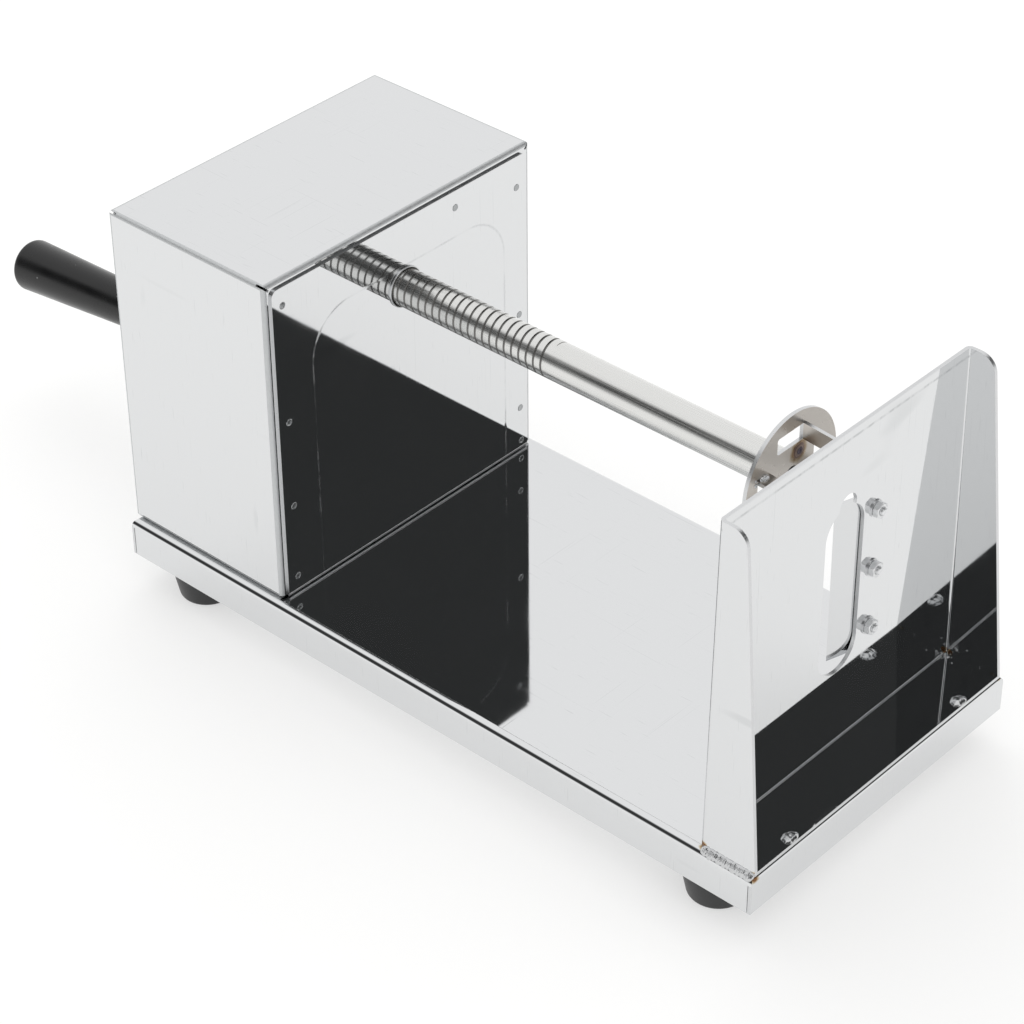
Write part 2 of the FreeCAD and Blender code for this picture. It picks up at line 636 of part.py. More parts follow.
def blade_plate():
    outer = plate_solid(PLATE_BACK_X, FLANGE_END_X, 0, 0, PLATE_TOP, PLATE_BEND)
    inner = plate_solid(
        PLATE_FACE_X, FLANGE_END_X + 1, PLATE_SHEET, PLATE_SHEET, PLATE_TOP + 1,
        PLATE_BEND - PLATE_SHEET,
    )
    folded = outer.cut(inner)
    side_view = [
        (PLATE_BACK_X - 1, DECK - 1), (FLANGE_END_X, DECK - 1),
        (FLANGE_END_X, DECK + PLATE_SHEET), (PLATE_FACE_X + WING_TOP, PLATE_TOP),
        (PLATE_BACK_X - 1, PLATE_TOP),
    ]
    reach = PLATE_HALF_BOTTOM + 1
    envelope = prism([point(x, -reach, z) for x, z in side_view], Y_AXIS * (2 * reach))
    corner = edges_where(
        envelope,
        lambda e: level(e, X_AXIS, PLATE_FACE_X + WING_TOP) and level(e, Z_AXIS, PLATE_TOP),
    )
    plate = folded.common(envelope.makeFillet(WING_CORNER, corner)).cut(slot_cutter())
    for z in BOLT_HEIGHTS:
        hole = point(PLATE_BACK_X - 1, BOLT_ROW_Y, z)
        plate = plate.cut(rod(hole, X_AXIS, PLATE_SHEET + 2, clearance(M3)))
    return plate.removeSplitter()


def slicing_blade():
    """A strip with a flat foot bolted to the plate and a raised web ground to an edge."""
    seat = PLATE_BACK_X

    def web_x(y):
        return seat - BLADE_SLOPE * (BLADE_BEND_Y - y)

    far_y = EDGE_TOP_Y - 1
    drop = BLADE_SHEET * math.sqrt(1 + BLADE_SLOPE ** 2)       # sheet measured along X on the web
    turn = BLADE_SHEET * math.tan(math.atan(BLADE_SLOPE) / 2)  # where the outer faces meet
    section = [
        (seat, BLADE_OUTER_Y), (seat, BLADE_BEND_Y), (web_x(far_y), far_y),
        (web_x(far_y) - drop, far_y), (seat - BLADE_SHEET, BLADE_BEND_Y + turn),
        (seat - BLADE_SHEET, BLADE_OUTER_Y),
    ]
    blade = prism([point(x, y, BLADE_BOTTOM) for x, y in section], Z_AXIS * BLADE_LENGTH)
    outer_corners = edges_where(
        blade, lambda e: along(e, X_AXIS) and level(e, Y_AXIS, BLADE_OUTER_Y)
    )
    blade = blade.makeFillet(BLADE_CORNER, outer_corners)

    # the ground edge: everything beyond a slanted bevel plane goes
    edge = point(web_x(EDGE_TOP_Y), EDGE_TOP_Y, BLADE_TOP)
    foot = point(web_x(EDGE_BOTTOM_Y), EDGE_BOTTOM_Y, BLADE_BOTTOM)
    slant = foot - edge
    past = 0.1                                          # the cutter runs this share past each end
    start = edge - slant * past
    heel = point(start.x - drop + BLADE_SLOPE * BEVEL, start.y + BEVEL, start.z)
    spare = 4 * BEVEL
    waste = [
        start, heel, point(heel.x - spare, heel.y, start.z),
        point(heel.x - spare, start.y - spare, start.z),
        point(start.x + spare, start.y - spare, start.z), point(start.x + spare, start.y, start.z),
    ]
    blade = blade.cut(prism(waste, slant * (1 + 2 * past)))
    for z in BOLT_HEIGHTS:
        hole = point(seat - BLADE_SHEET - 1, BOLT_ROW_Y, z)
        blade = blade.cut(rod(hole, X_AXIS, BLADE_SHEET + 2, clearance(M3)))
    return blade.removeSplitter()


def blade_bolts():
    head_x = PLATE_BACK_X - BLADE_SHEET
    length = BLADE_SHEET + PLATE_SHEET + M3_WASHER + M3[4] + BLADE_BOLT_SPARE
    return [round_screw(point(head_x, BOLT_ROW_Y, z), X_AXIS, M3, length) for z in BOLT_HEIGHTS]


def blade_washers():
    return [
        ring(point(PLATE_FACE_X, BOLT_ROW_Y, z), X_AXIS, M3_WASHER, M3_WASHER_DIA, clearance(M3))
        for z in BOLT_HEIGHTS
    ]


def blade_nuts():
    x = PLATE_FACE_X + M3_WASHER
    return [nut_of(point(x, BOLT_ROW_Y, z), X_AXIS, M3) for z in BOLT_HEIGHTS]


def plate_welds(tray, plate):
    """A bead along the foot of each wing and two tacks at the flange's front edge."""
    welds = []
    for side in (-1, 1):
        start = point(PLATE_BACK_X + PLATE_BEND, side * PLATE_HALF_BOTTOM, DECK)
        length = FLANGE_END_X - PLATE_BEND - PLATE_BACK_X
        bead = rod(start, X_AXIS, length, 2 * BEAD_RADIUS)
        keep_y = sorted((side * PLATE_HALF_BOTTOM, side * HALF_TRAY))
        bead = bead.common(block((PLATE_BACK_X, TRAY_LENGTH), keep_y, (DECK - BEAD_RADIUS, PLATE_TOP)))
        welds.append(bead.cut(tray).cut(plate))
        ball_radius = (TACK_RADIUS ** 2 + TACK_RISE ** 2) / (2 * TACK_RISE)
        crown = DECK + PLATE_SHEET + TACK_RISE
        centre = point(FLANGE_END_X - TACK_SETBACK, side * TACK_Y, crown - ball_radius)
        tack = Part.makeSphere(ball_radius, centre)
        slab = block((PLATE_FACE_X, TRAY_LENGTH), (-HALF_TRAY, HALF_TRAY), (DECK, crown + 1))
        welds.append(tack.common(slab).cut(tray).cut(plate))
    return [s for w in welds for s in w.Solids]


# ---------------------------------------------------------------- screw, disc and thrust washer

def screw_shaft():
    start = point(ARM_BACK, 0, AXIS_Z)
    tube = ring(start, X_AXIS, DISC_BACK_X - ARM_BACK, SCREW_DIA, SCREW_BORE)
    groove = ring(point(CLIP_BACK, 0, AXIS_Z), X_AXIS, CLIP_THICK, SCREW_DIA + 2, CLIP_INNER_DIA)
    return tube.cut(groove)


def thrust_washer():
    washer = ring(point(THRUST_BACK, 0, AXIS_Z), X_AXIS, THRUST_THICK, THRUST_DIA, RUNNING_BORE)
    return washer.cut(axis_hole(THRUST_FRONT - RECESS_DEPTH, RECESS_DEPTH, RECESS_DIA))


def thrust_clip():
    start = point(CLIP_BACK, 0, AXIS_Z)
    clip = ring(start, X_AXIS, CLIP_THICK, CLIP_DIA, CLIP_INNER_DIA)
    gap = block(
        (CLIP_BACK - 1, CLIP_BACK + CLIP_THICK + 1), (-CLIP_GAP / 2, CLIP_GAP / 2),
        (AXIS_Z, AXIS_Z + CLIP_DIA),
    )
    return clip.cut(gap)


def prong():
    """One prong at the top of the disc: the window's metal folded forward at the window's end.
    Its outer edge is straight and its inner edge slants to the tip."""
    length = WINDOW_LENGTH
    half = WINDOW_WIDTH / 2
    outline = [
        (-DISC_SHEET, -half), (length - PRONG_POINT, -half), (length, half - PRONG_TIP),
        (length, half), (-DISC_SHEET, half),
    ]
    tab = prism([point(s, 0, z) for s, z in outline], Y_AXIS * DISC_SHEET)
    tab.rotate(point(0, 0, 0), Z_AXIS, -PRONG_LEAN)
    tab.translate(point(DISC_FACE_X, window_end(), AXIS_Z + WINDOW_OFFSET))
    return tab


def window_end():
    """Where the window ends at its prong, across the disc."""
    return WINDOW_LENGTH / 2 - WINDOW_SHIFT


def fork_disc():
    disc = rod(point(DISC_BACK_X, 0, AXIS_Z), X_AXIS, DISC_SHEET, DISC_DIA)
    half = WINDOW_WIDTH / 2
    window = block(
        (DISC_BACK_X - 1, DISC_FACE_X + 1), (window_end() - WINDOW_LENGTH, window_end()),
        (AXIS_Z + WINDOW_OFFSET - half, AXIS_Z + WINDOW_OFFSET + half),
    )
    corners = edges_where(
        window, lambda e: along(e, X_AXIS) and level(e, Y_AXIS, window_end() - WINDOW_LENGTH)
    )
    window = window.makeFillet(WINDOW_CORNER, corners)
    centre = point(0, 0, AXIS_Z)
    turns = [i * 360.0 / PRONG_COUNT for i in range(PRONG_COUNT)]
    disc = disc.cut(axis_hole(DISC_BACK_X, DISC_SHEET, SKEWER_HOLE_DIA))
    for angle in turns:
        disc = disc.cut(window.copy().rotate(centre, X_AXIS, angle))
    for angle in turns:
        disc = disc.fuse(prong().rotate(centre, X_AXIS, angle))
    return disc.removeSplitter()


def plug_welds():
    """Two domed welds on the disc's face that join it to the tube's end."""
    rise, radius = PLUG_WELD_RISE, PLUG_WELD_DIA / 2
    ball = (radius ** 2 + rise ** 2) / (2 * rise)
    welds = []
    for angle in (PLUG_WELD_ANGLE, PLUG_WELD_ANGLE + 180):
        y = PLUG_WELD_RADIUS * math.cos(math.radians(angle))
        z = AXIS_Z + PLUG_WELD_RADIUS * math.sin(math.radians(angle))
        dome = Part.makeSphere(ball, point(DISC_FACE_X + rise - ball, y, z))
        y_span, z_span = (y - radius, y + radius), (z - radius, z + radius)
        front = block((DISC_FACE_X, DISC_FACE_X + 2 * rise), y_span, z_span)
        welds.append(dome.common(front))
    return welds


# ---------------------------------------------------------------- crank and grip

def crank_hub():
    """A turned collar round the tube, with a tapped hole in its top for the set screw."""
    hub = rod(point(ARM_FRONT, 0, AXIS_Z), X_AXIS, HUB_LENGTH, HUB_DIA)
    hub = hub.makeChamfer(HUB_CHAMFER, rims(hub, point(HUB_FRONT, 0, 0), X_AXIS))
    hub = hub.cut(axis_hole(ARM_FRONT, HUB_LENGTH, SCREW_DIA))
    return hub.cut(rod(HUB_MIDDLE, Z_AXIS, HUB_DIA / 2, SET_SCREW_DIA))


def hub_set_screw():
    """A socket set screw whose end bears on the tube."""
    screw = rod(HUB_MIDDLE, Z_AXIS, SCREW_RADIUS + SET_SCREW_LENGTH, SET_SCREW_DIA)
    screw = screw.cut(axis_hole(ARM_FRONT, HUB_LENGTH, SCREW_DIA))
    key = HUB_MIDDLE + Z_AXIS * (SCREW_RADIUS + SET_SCREW_LENGTH - SET_SCREW_KEY_DEPTH)
    return screw.cut(hexagon(key, Z_AXIS, SET_SCREW_KEY_DEPTH, SET_SCREW_KEY))


def link_outline():
    """The crank arm seen along the screw: an eye round the tube tapering to a rounded end."""
    big, small = HUB_DIA / 2, ARM_END_RADIUS
    tilt = math.asin((big - small) / CRANK_RADIUS)
    low_z = AXIS_Z - CRANK_RADIUS
    sides = [
        (side * big * math.cos(tilt), AXIS_Z - big * math.sin(tilt)) for side in (-1, 1)
    ] + [
        (side * small * math.cos(tilt), low_z - small * math.sin(tilt)) for side in (1, -1)
    ]
    x = PIVOT.x - CRANK_RADIUS
    depth = 2 * CRANK_RADIUS
    link = prism([point(x, y, z) for y, z in sides], X_AXIS * depth)
    link = link.fuse(rod(point(x, 0, AXIS_Z), X_AXIS, depth, 2 * big))
    return link.fuse(rod(point(x, 0, low_z), X_AXIS, depth, 2 * small))


def crank_arm():
    """A flat bar bent once below its eye, so that its end stands square to the grip."""
    top = point(ARM_BACK, 0, AXIS_Z + HUB_DIA)
    tip = BEND_POINT + ARM_DIR * (ARM_REACH + ARM_END_RADIUS * 2)
    step = ARM_THICK * math.tan(LEAN / 2)
    front_bend = point(ARM_FRONT, 0, BEND_POINT.z + step)
    through = GRIP_DIR * -ARM_THICK
    rear_line = [top, BEND_POINT, tip]
    front_line = [tip + through, front_bend, point(ARM_FRONT, 0, top.z)]
    bar = prism([p - Y_AXIS * HUB_DIA for p in rear_line + front_line], Y_AXIS * (2 * HUB_DIA))
    arm = bar.common(link_outline())
    arm = arm.cut(axis_hole(ARM_BACK - 1, ARM_THICK + 2, SCREW_DIA))
    hole_start = PIVOT + GRIP_DIR * ARM_THICK
    return arm.cut(rod(hole_start, GRIP_DIR * -1, 3 * ARM_THICK, SPINDLE_DIA)).removeSplitter()


def grip_point(distance):
    """A point on the grip's axis, measured outwards from the arm's rear face."""
    return PIVOT + GRIP_DIR * distance


SPINDLE_END = SPINDLE_WASHER + GRIP_PLAY + SPINDLE_REACH
CLIP_AT = SPINDLE_END - GRIP_CLIP_INSET


def grip_spindle():
    """A pin through the arm: its inner end takes a nut, its outer end a clip inside the grip."""
    inner = ARM_THICK + SPINDLE_NUT + THREAD_PAST_NUT
    pin = rod(grip_point(-inner), GRIP_DIR, inner + SPINDLE_END, SPINDLE_DIA)
    ends = [e for d in (-inner, SPINDLE_END) for e in rims(pin, grip_point(d), GRIP_DIR)]
    pin = pin.makeChamfer(SPINDLE_CHAMFER, ends)
    groove = ring(
        grip_point(CLIP_AT), GRIP_DIR, GRIP_CLIP, SPINDLE_DIA + 2, GRIP_CLIP_INNER_DIA
    )
    return pin.cut(groove)


def grip_clip():
    clip = ring(point(0, 0, 0), X_AXIS, GRIP_CLIP, GRIP_CLIP_DIA, GRIP_CLIP_INNER_DIA)
    half_gap = GRIP_CLIP_GAP / 2
    clip = clip.cut(block((-1, GRIP_CLIP + 1), (-half_gap, half_gap), (0, GRIP_CLIP_DIA)))
    return place_along(clip, grip_point(CLIP_AT), GRIP_DIR)


def spindle_washer():
    return ring(PIVOT, GRIP_DIR, SPINDLE_WASHER, SPINDLE_WASHER_DIA, SPINDLE_DIA + HOLE_SLACK)


def spindle_nut():
    start = grip_point(-ARM_THICK)
    return hex_nut(start, GRIP_DIR * -1, SPINDLE_NUT, SPINDLE_NUT_FLATS, SPINDLE_DIA + NUT_SLACK)


def grip():
    """A turned handle: a collar, a waist, a long taper and a flat end with a broken edge. Its
    blind bore has a pocket for the clip."""
    collar, waist, end = GRIP_COLLAR_DIA / 2, GRIP_WAIST_DIA / 2, GRIP_DIA / 2
    profile = [
        (0, 0), (0, collar - GRIP_CHAMFER), (GRIP_CHAMFER, collar), (GRIP_COLLAR, collar),
        (GRIP_WAIST_AT, waist), (GRIP_LENGTH - GRIP_END_CHAMFER, end),
        (GRIP_LENGTH, end - GRIP_END_CHAMFER), (GRIP_LENGTH, 0),
    ]
    body = turned(profile, GRIP_START, GRIP_DIR)
    body = body.cut(rod(GRIP_START, GRIP_DIR, SPINDLE_REACH + GRIP_BORE_SPARE, SPINDLE_DIA + 2 * RUN))
    pocket = rod(
        grip_point(CLIP_AT - GRIP_POCKET_SPARE), GRIP_DIR, GRIP_CLIP + 2 * GRIP_POCKET_SPARE,
        GRIP_CLIP_DIA + 2 * GRIP_POCKET_SPARE,
    )
    return body.cut(pocket)


# ---------------------------------------------------------------- assembly

def assembly():
    """Every piece by its node's name, each a shape or a list of like solids."""
    tray = base_tray()
    plate = blade_plate()
    pieces = {
        "base_tray": tray,
        "foot_screws": [foot_screw(x, y) for x, y in FOOT_PLACES.values()],
        "foot_washers": [foot_washer(x, y) for x, y in FOOT_PLACES.values()],
        "foot_nuts": [foot_nut(x, y) for x, y in FOOT_PLACES.values()],
        "housing_shell": housing_shell(),
        "front_panel": front_panel(),
        "rear_panel": rear_panel(),
        "housing_screws": housing_screws(),
        "housing_nuts": housing_nuts(),
        "nut_plate": nut_plate(),
        "thread_nut": thread_nut(),
        "nut_screws": nut_screws(),
        "nut_screw_nuts": nut_screw_nuts(),
        "front_bush": front_bush(),
        "blade_plate": plate,
        "slicing_blade": slicing_blade(),
        "blade_bolts": blade_bolts(),
        "blade_washers": blade_washers(),
        "blade_nuts": blade_nuts(),
        "plate_welds": plate_welds(tray, plate),
        "thrust_washer": thrust_washer(),
        "screw_shaft": screw_shaft(),
        "fork_disc": fork_disc(),
        "plug_welds": plug_welds(),
        "thrust_clip": thrust_clip(),
        "crank_hub": crank_hub(),
        "hub_set_screw": hub_set_screw(),
        "crank_arm": crank_arm(),
        "grip_spindle": grip_spindle(),
        "spindle_nut": spindle_nut(),
        "spindle_washer": spindle_washer(),
        "grip_clip": grip_clip(),
        "grip": grip(),
    }
    for name, (x, y) in FOOT_PLACES.items():
        pieces["foot_" + name] = rubber_foot(x, y)
    return pieces


def main():
    os.makedirs("parts", exist_ok=True)
    for name, shape in assembly().items():
        solids = shape if isinstance(shape, list) else shape.Solids
        for solid in solids:
            solid.translate(point(-ORIGIN_X, 0, 0))
        whole = solids[0] if len(solids) == 1 else Part.makeCompound(solids)
        whole.exportStep(os.path.join("parts", name + ".step"))
        volume = sum(s.Volume for s in solids)
        print(f"{name}: {len(solids)} solid(s), {volume:.1f} mm3")
    print(f"origin at X = {ORIGIN_X:.4f} from the tray's rear edge, screw axis Z = {AXIS_Z:.4f}")
    print(f"grip axis through X {PIVOT.x - ORIGIN_X:.4f} Z {PIVOT.z:.4f}, along {tuple(GRIP_DIR)}")
    print(f"screw travel {SCREW_TURNS * SCREW_PITCH:.3f} mm in {SCREW_TURNS} turns")


main()
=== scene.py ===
# %% [markdown]
# # A hand-cranked spiral potato cutter, finished in Blender
# The maker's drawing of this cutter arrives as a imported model: every sheet, screw and nut is
# already a separate object at its real size. Here each one gets its finish, and the pieces
# whose shape is too fine for the drawing, such as the cut thread and the weld beads, are
# modelled again in their place.

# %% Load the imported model
import json
import math
import bmesh
import bpy
from mathutils import Matrix, Vector, noise
from mathutils.bvhtree import BVHTree

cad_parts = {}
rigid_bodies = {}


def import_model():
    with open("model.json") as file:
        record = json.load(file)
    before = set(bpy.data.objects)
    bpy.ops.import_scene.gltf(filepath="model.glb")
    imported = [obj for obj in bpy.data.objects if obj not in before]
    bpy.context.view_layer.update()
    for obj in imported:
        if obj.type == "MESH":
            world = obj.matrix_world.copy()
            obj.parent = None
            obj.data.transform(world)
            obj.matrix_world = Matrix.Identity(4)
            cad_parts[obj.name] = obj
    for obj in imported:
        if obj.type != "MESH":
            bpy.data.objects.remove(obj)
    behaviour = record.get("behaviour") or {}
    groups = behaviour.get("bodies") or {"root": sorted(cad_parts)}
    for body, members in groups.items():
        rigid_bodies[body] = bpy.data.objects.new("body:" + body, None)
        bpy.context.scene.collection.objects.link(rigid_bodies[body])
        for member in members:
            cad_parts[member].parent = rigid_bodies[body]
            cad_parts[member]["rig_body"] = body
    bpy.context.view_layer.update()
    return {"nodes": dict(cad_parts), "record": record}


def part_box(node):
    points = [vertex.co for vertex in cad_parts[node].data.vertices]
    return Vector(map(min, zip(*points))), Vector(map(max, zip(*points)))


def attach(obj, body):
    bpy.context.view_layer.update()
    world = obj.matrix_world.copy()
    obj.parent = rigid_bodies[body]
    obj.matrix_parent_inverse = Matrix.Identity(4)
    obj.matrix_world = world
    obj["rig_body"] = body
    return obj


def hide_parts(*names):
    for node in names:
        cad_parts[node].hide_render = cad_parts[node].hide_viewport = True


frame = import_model()
nodes = frame["nodes"]
slot_of = {part["node"]: part["material_slot"] for part in frame["record"]["subparts"]}

# %% [markdown]
# ## Lengths
# Blender counts in metres and the cutter is drawn in millimetres, so every length below is
# written in millimetres and passes through one factor. The drawing measures along the tray
# from its rear edge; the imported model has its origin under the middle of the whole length.
# Everything that the drawing already fixes is read from the pieces themselves.

# %% Millimetres, and the drawing's own X
MM = 0.001
X_DIRECTION, Y_DIRECTION, Z_DIRECTION = Vector((1, 0, 0)), Vector((0, 1, 0)), Vector((0, 0, 1))
tray_low, tray_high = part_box("base_tray")
shaft_low, shaft_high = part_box("screw_shaft")
AXIS_Z = (shaft_low.z + shaft_high.z) / 2 / MM      # height of the screw's axis
DECK_Z = tray_high.z / MM                           # the tray's top face


def at(x, y, z):
    """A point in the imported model, from millimetres measured off the tray's rear edge."""
    return Vector((x * MM + tray_low.x, y * MM, z * MM))


def drawing_x(point):
    """The distance of a packed point from the tray's rear edge, in millimetres."""
    return (point.x - tray_low.x) / MM


def off_axis(point):
    """The distance of a packed point from the screw's axis, in millimetres."""
    return math.hypot(point.y, point.z - AXIS_Z * MM) / MM


print(f"screw axis {AXIS_Z:.1f} mm and tray top {DECK_Z:.1f} mm above the floor")

# %% [markdown]
# ## The camera
# A long lens from well back keeps the tray's long edges almost parallel, as studios like it.
# The camera's axes are built by hand: "back" points from the cutter to the camera, "right"
# is level, and a small roll turns both about the line of sight.

# %% Camera
LENS_MM = 110.5
SENSOR_MM = 36.0
NEAREST_SEEN = 50 * MM
CAMERA_TARGET = at(136.83, 0, 59.5)
CAMERA_DISTANCE = 1204.6 * MM
CAMERA_ROLL = math.radians(-0.48)

back = Vector((0.5453, -0.5959, 0.5895)).normalized()
level_right = Z_DIRECTION.cross(back).normalized()
level_up = back.cross(level_right)
right = level_right * math.cos(CAMERA_ROLL) + level_up * math.sin(CAMERA_ROLL)
up = back.cross(right)
turn = Matrix((right, up, back)).transposed().to_4x4()

camera_data = bpy.data.cameras.new("studio_camera")
camera_data.lens = LENS_MM
camera_data.sensor_width = SENSOR_MM
camera_data.clip_start = NEAREST_SEEN
camera = bpy.data.objects.new("studio_camera", camera_data)
camera.matrix_world = Matrix.Translation(CAMERA_TARGET + back * CAMERA_DISTANCE) @ turn
bpy.context.scene.collection.objects.link(camera)
bpy.context.scene.camera = camera
print(f"camera at {tuple(round(c, 4) for c in camera.location)}")

# %% [markdown]
# ## Colours and nodes
# Paint and metal colours are easiest to choose as the hex values of a picture editor, which
# are sRGB. Blender's shaders add light, which needs linear values, so one function converts
# them. A second one feeds an input, and a third adds a shader node: its settings, then each
# input, which is either a value, an output to link, or another node, whose first output is
# then meant. The inputs of a Math node share one name, so they go by number, and so do the
# colours of a Mix node, which has sockets for every kind of data.

# %% Colour and node helpers
SMOOTH = {"interpolation_type": "SMOOTHSTEP"}       # a Map Range that starts and ends softly
MIX_COLOURS = {"data_type": "RGBA"}
COLOUR_A, COLOUR_B, MIXED = 6, 7, 2                 # its colour inputs, and its colour output


def colour(hex_value):
    """Turn an sRGB hex colour into linear red, green, blue and alpha."""
    channels = [int(hex_value[i:i + 2], 16) / 255 for i in (1, 3, 5)]
    linear = [c / 12.92 if c <= 0.04045 else ((c + 0.055) / 1.055) ** 2.4 for c in channels]
    return (*linear, 1.0)


def feed(socket, source):
    """Give an input a value, link an output to it, or link a node's first output."""
    if isinstance(source, bpy.types.Node):
        source = source.outputs[0]
    if isinstance(source, bpy.types.NodeSocket):
        socket.id_data.links.new(source, socket)
    else:
        socket.default_value = source


def node(tree, kind, settings=None, inputs=None):
    """Add a shader node, set its properties, then feed each input."""
    made = tree.nodes.new("ShaderNode" + kind)
    for name, value in (settings or {}).items():
        setattr(made, name, value)
    for name, value in (inputs or {}).items():
        feed(made.inputs[name], value)
    return made


print(f"the hex grey #808080 is {colour('#808080')[0]:.2f} of white in linear light")

# %% [markdown]
# ## The studio
# Mirror-polished steel has hardly any colour of its own: what is seen is the room. This
# room is white all round and below, with three unlit places: two high up in front of the
# cutter, left and right, which the deck shows by way of the upright panels, and a small one at
# the camera's side, which lies as a dark line along every round bar. Each is a soft-edged cap
# round a direction of the sky, which a dot product measures.

# %% The unlit places
# the middle of each, and the cosines off it where the dark starts and where it is full
UNLIT = ((Vector((0.56, 0.60, 0.57)), 0.84, 0.93),
         (Vector((0.56, -0.60, 0.57)), 0.84, 0.93),
         (Vector((-0.545, -0.747, 0.38)), 0.90, 0.985))

world = bpy.data.worlds.new("studio")
bpy.context.scene.world = world
world.use_nodes = True
room = world.node_tree
room.nodes.clear()
sky = node(room, "TexCoord").outputs["Generated"]
unlit = None
for middle, starts, full in UNLIT:
    facing = node(room, "VectorMath", {"operation": "DOT_PRODUCT"}, {0: sky, 1: middle})
    cap = node(room, "MapRange", SMOOTH, {
        "Value": facing.outputs["Value"], "From Min": starts, "From Max": full})
    unlit = cap if unlit is None else node(room, "Math", {"operation": "MAXIMUM"}, {0: unlit, 1: cap})
print(f"{len(UNLIT)} unlit places")

# %% [markdown]
# The caps end softly at the horizon, so that the floor's side of the room stays white. The
# world gives plain white light to everything matt, and shows the unlit places only to mirror
# reflections, which are Blender's glossy rays.

# %% The room
ROOM_WHITE, ROOM_DARK = "#FFFFFF", "#393A3A"
HORIZON_FROM, HORIZON_TO = -0.02, 0.06

height = node(room, "SeparateXYZ", inputs={"Vector": sky}).outputs["Z"]
above = node(room, "MapRange", SMOOTH, {
    "Value": height, "From Min": HORIZON_FROM, "From Max": HORIZON_TO})
dark_part = node(room, "Math", {"operation": "MULTIPLY"}, {0: unlit, 1: above})
mirrored = node(room, "Mix", MIX_COLOURS, {
    "Factor": dark_part, COLOUR_A: colour(ROOM_WHITE), COLOUR_B: colour(ROOM_DARK)})
seen = node(room, "Mix", MIX_COLOURS, {
    "Factor": node(room, "LightPath").outputs["Is Glossy Ray"],
    COLOUR_A: colour(ROOM_WHITE), COLOUR_B: mirrored.outputs[MIXED]})
backdrop = node(room, "Background", inputs={"Color": seen.outputs[MIXED], "Strength": 1.0})
node(room, "OutputWorld", inputs={"Surface": backdrop})
bpy.context.scene.view_settings.view_transform = "Standard"
print("the room is white, and its unlit places show in mirrors only")

# %% [markdown]
# ## A soft lamp
# White light from everywhere leaves matt pieces flat, so one large lamp behind the left
# shoulder gives them some form and a faint shadow. A lamp in a mirror would be a hard white
# square, so it is hidden from reflections.

# %% Soft key light
key_data = bpy.data.lights.new("key_light", "AREA")
key_data.size = 1.2
key_data.energy = 6.0
key = bpy.data.objects.new("key_light", key_data)
key.location = (-0.7, 0.5, 1.3)
key.rotation_euler = (-key.location).to_track_quat("-Z", "Y").to_euler()
key.visible_glossy = False
bpy.context.scene.collection.objects.link(key)
print(f"key light of {key_data.energy:.0f} W")

# %% [markdown]
# ## Starting a material
# Every finish below starts from the same things: a principled shader, an output, and the
# surface's own place in millimetres. With places in millimetres, a pattern whose scale is
# one over a length repeats once in about that length, so real sizes go straight in.

# %% The start of every finish
def new_finish(name, base, roughness, metallic=1.0):
    """A material with its principled shader and the surface's place in millimetres."""
    material = bpy.data.materials.new(name)
    material.use_nodes = True
    tree = material.node_tree
    tree.nodes.clear()
    shader = node(tree, "BsdfPrincipled", inputs={
        "Base Color": colour(base), "Metallic": metallic, "Roughness": roughness})
    node(tree, "OutputMaterial", inputs={"Surface": shader})
    place = node(tree, "TexCoord").outputs["Object"]
    mm = node(tree, "VectorMath", {"operation": "SCALE"}, {0: place, "Scale": 1 / MM})
    return material, tree, shader, mm


def one_per(lengths):
    """The scale of a pattern that repeats about once in each of three lengths."""
    return tuple(1 / length for length in lengths)


print(f"a pattern that repeats in 40, 20 and 4 mm has the scale {one_per((40, 20, 4))}")

# %% [markdown]
# ## Mirror-polished stainless sheet
# The tray, housing and blade plate are bent from stainless sheet that comes polished from
# the mill. Its surface is almost a mirror, so three slow errors tell the eye that it is
# sheet metal and not glass: it is a little wavy, it carries faint smears from handling, and
# it has hairline scratches that hold a trace of grey. The scratches are drawn 0.5 mm wide,
# far coarser than real ones, because finer ones would vanish in the render. The rear panel
# is the same sheet without its last polish, so its reflections are blurred.

# %% Mirror-polished stainless sheet
SMEARS, WAVES = (40, 28, 34), (70, 60, 65)                      # mm along X, Y and Z
SCRATCHES = ((60, 0.5, 9), (0.5, 60, 14), (11, 0.6, 50))
WAVE_DEPTH, SCRATCH_DEPTH = 0.05, 0.002
CLEANEST, SMEARIEST = 0.7, 1.9                                  # times the roughness
MIRROR_POLISH = ("#DEDFE0", 0.028, "#C6C8C9")                   # base, roughness, scratches
MILL_POLISH = ("#D6D7D8", 0.10, "#C0C1C2")


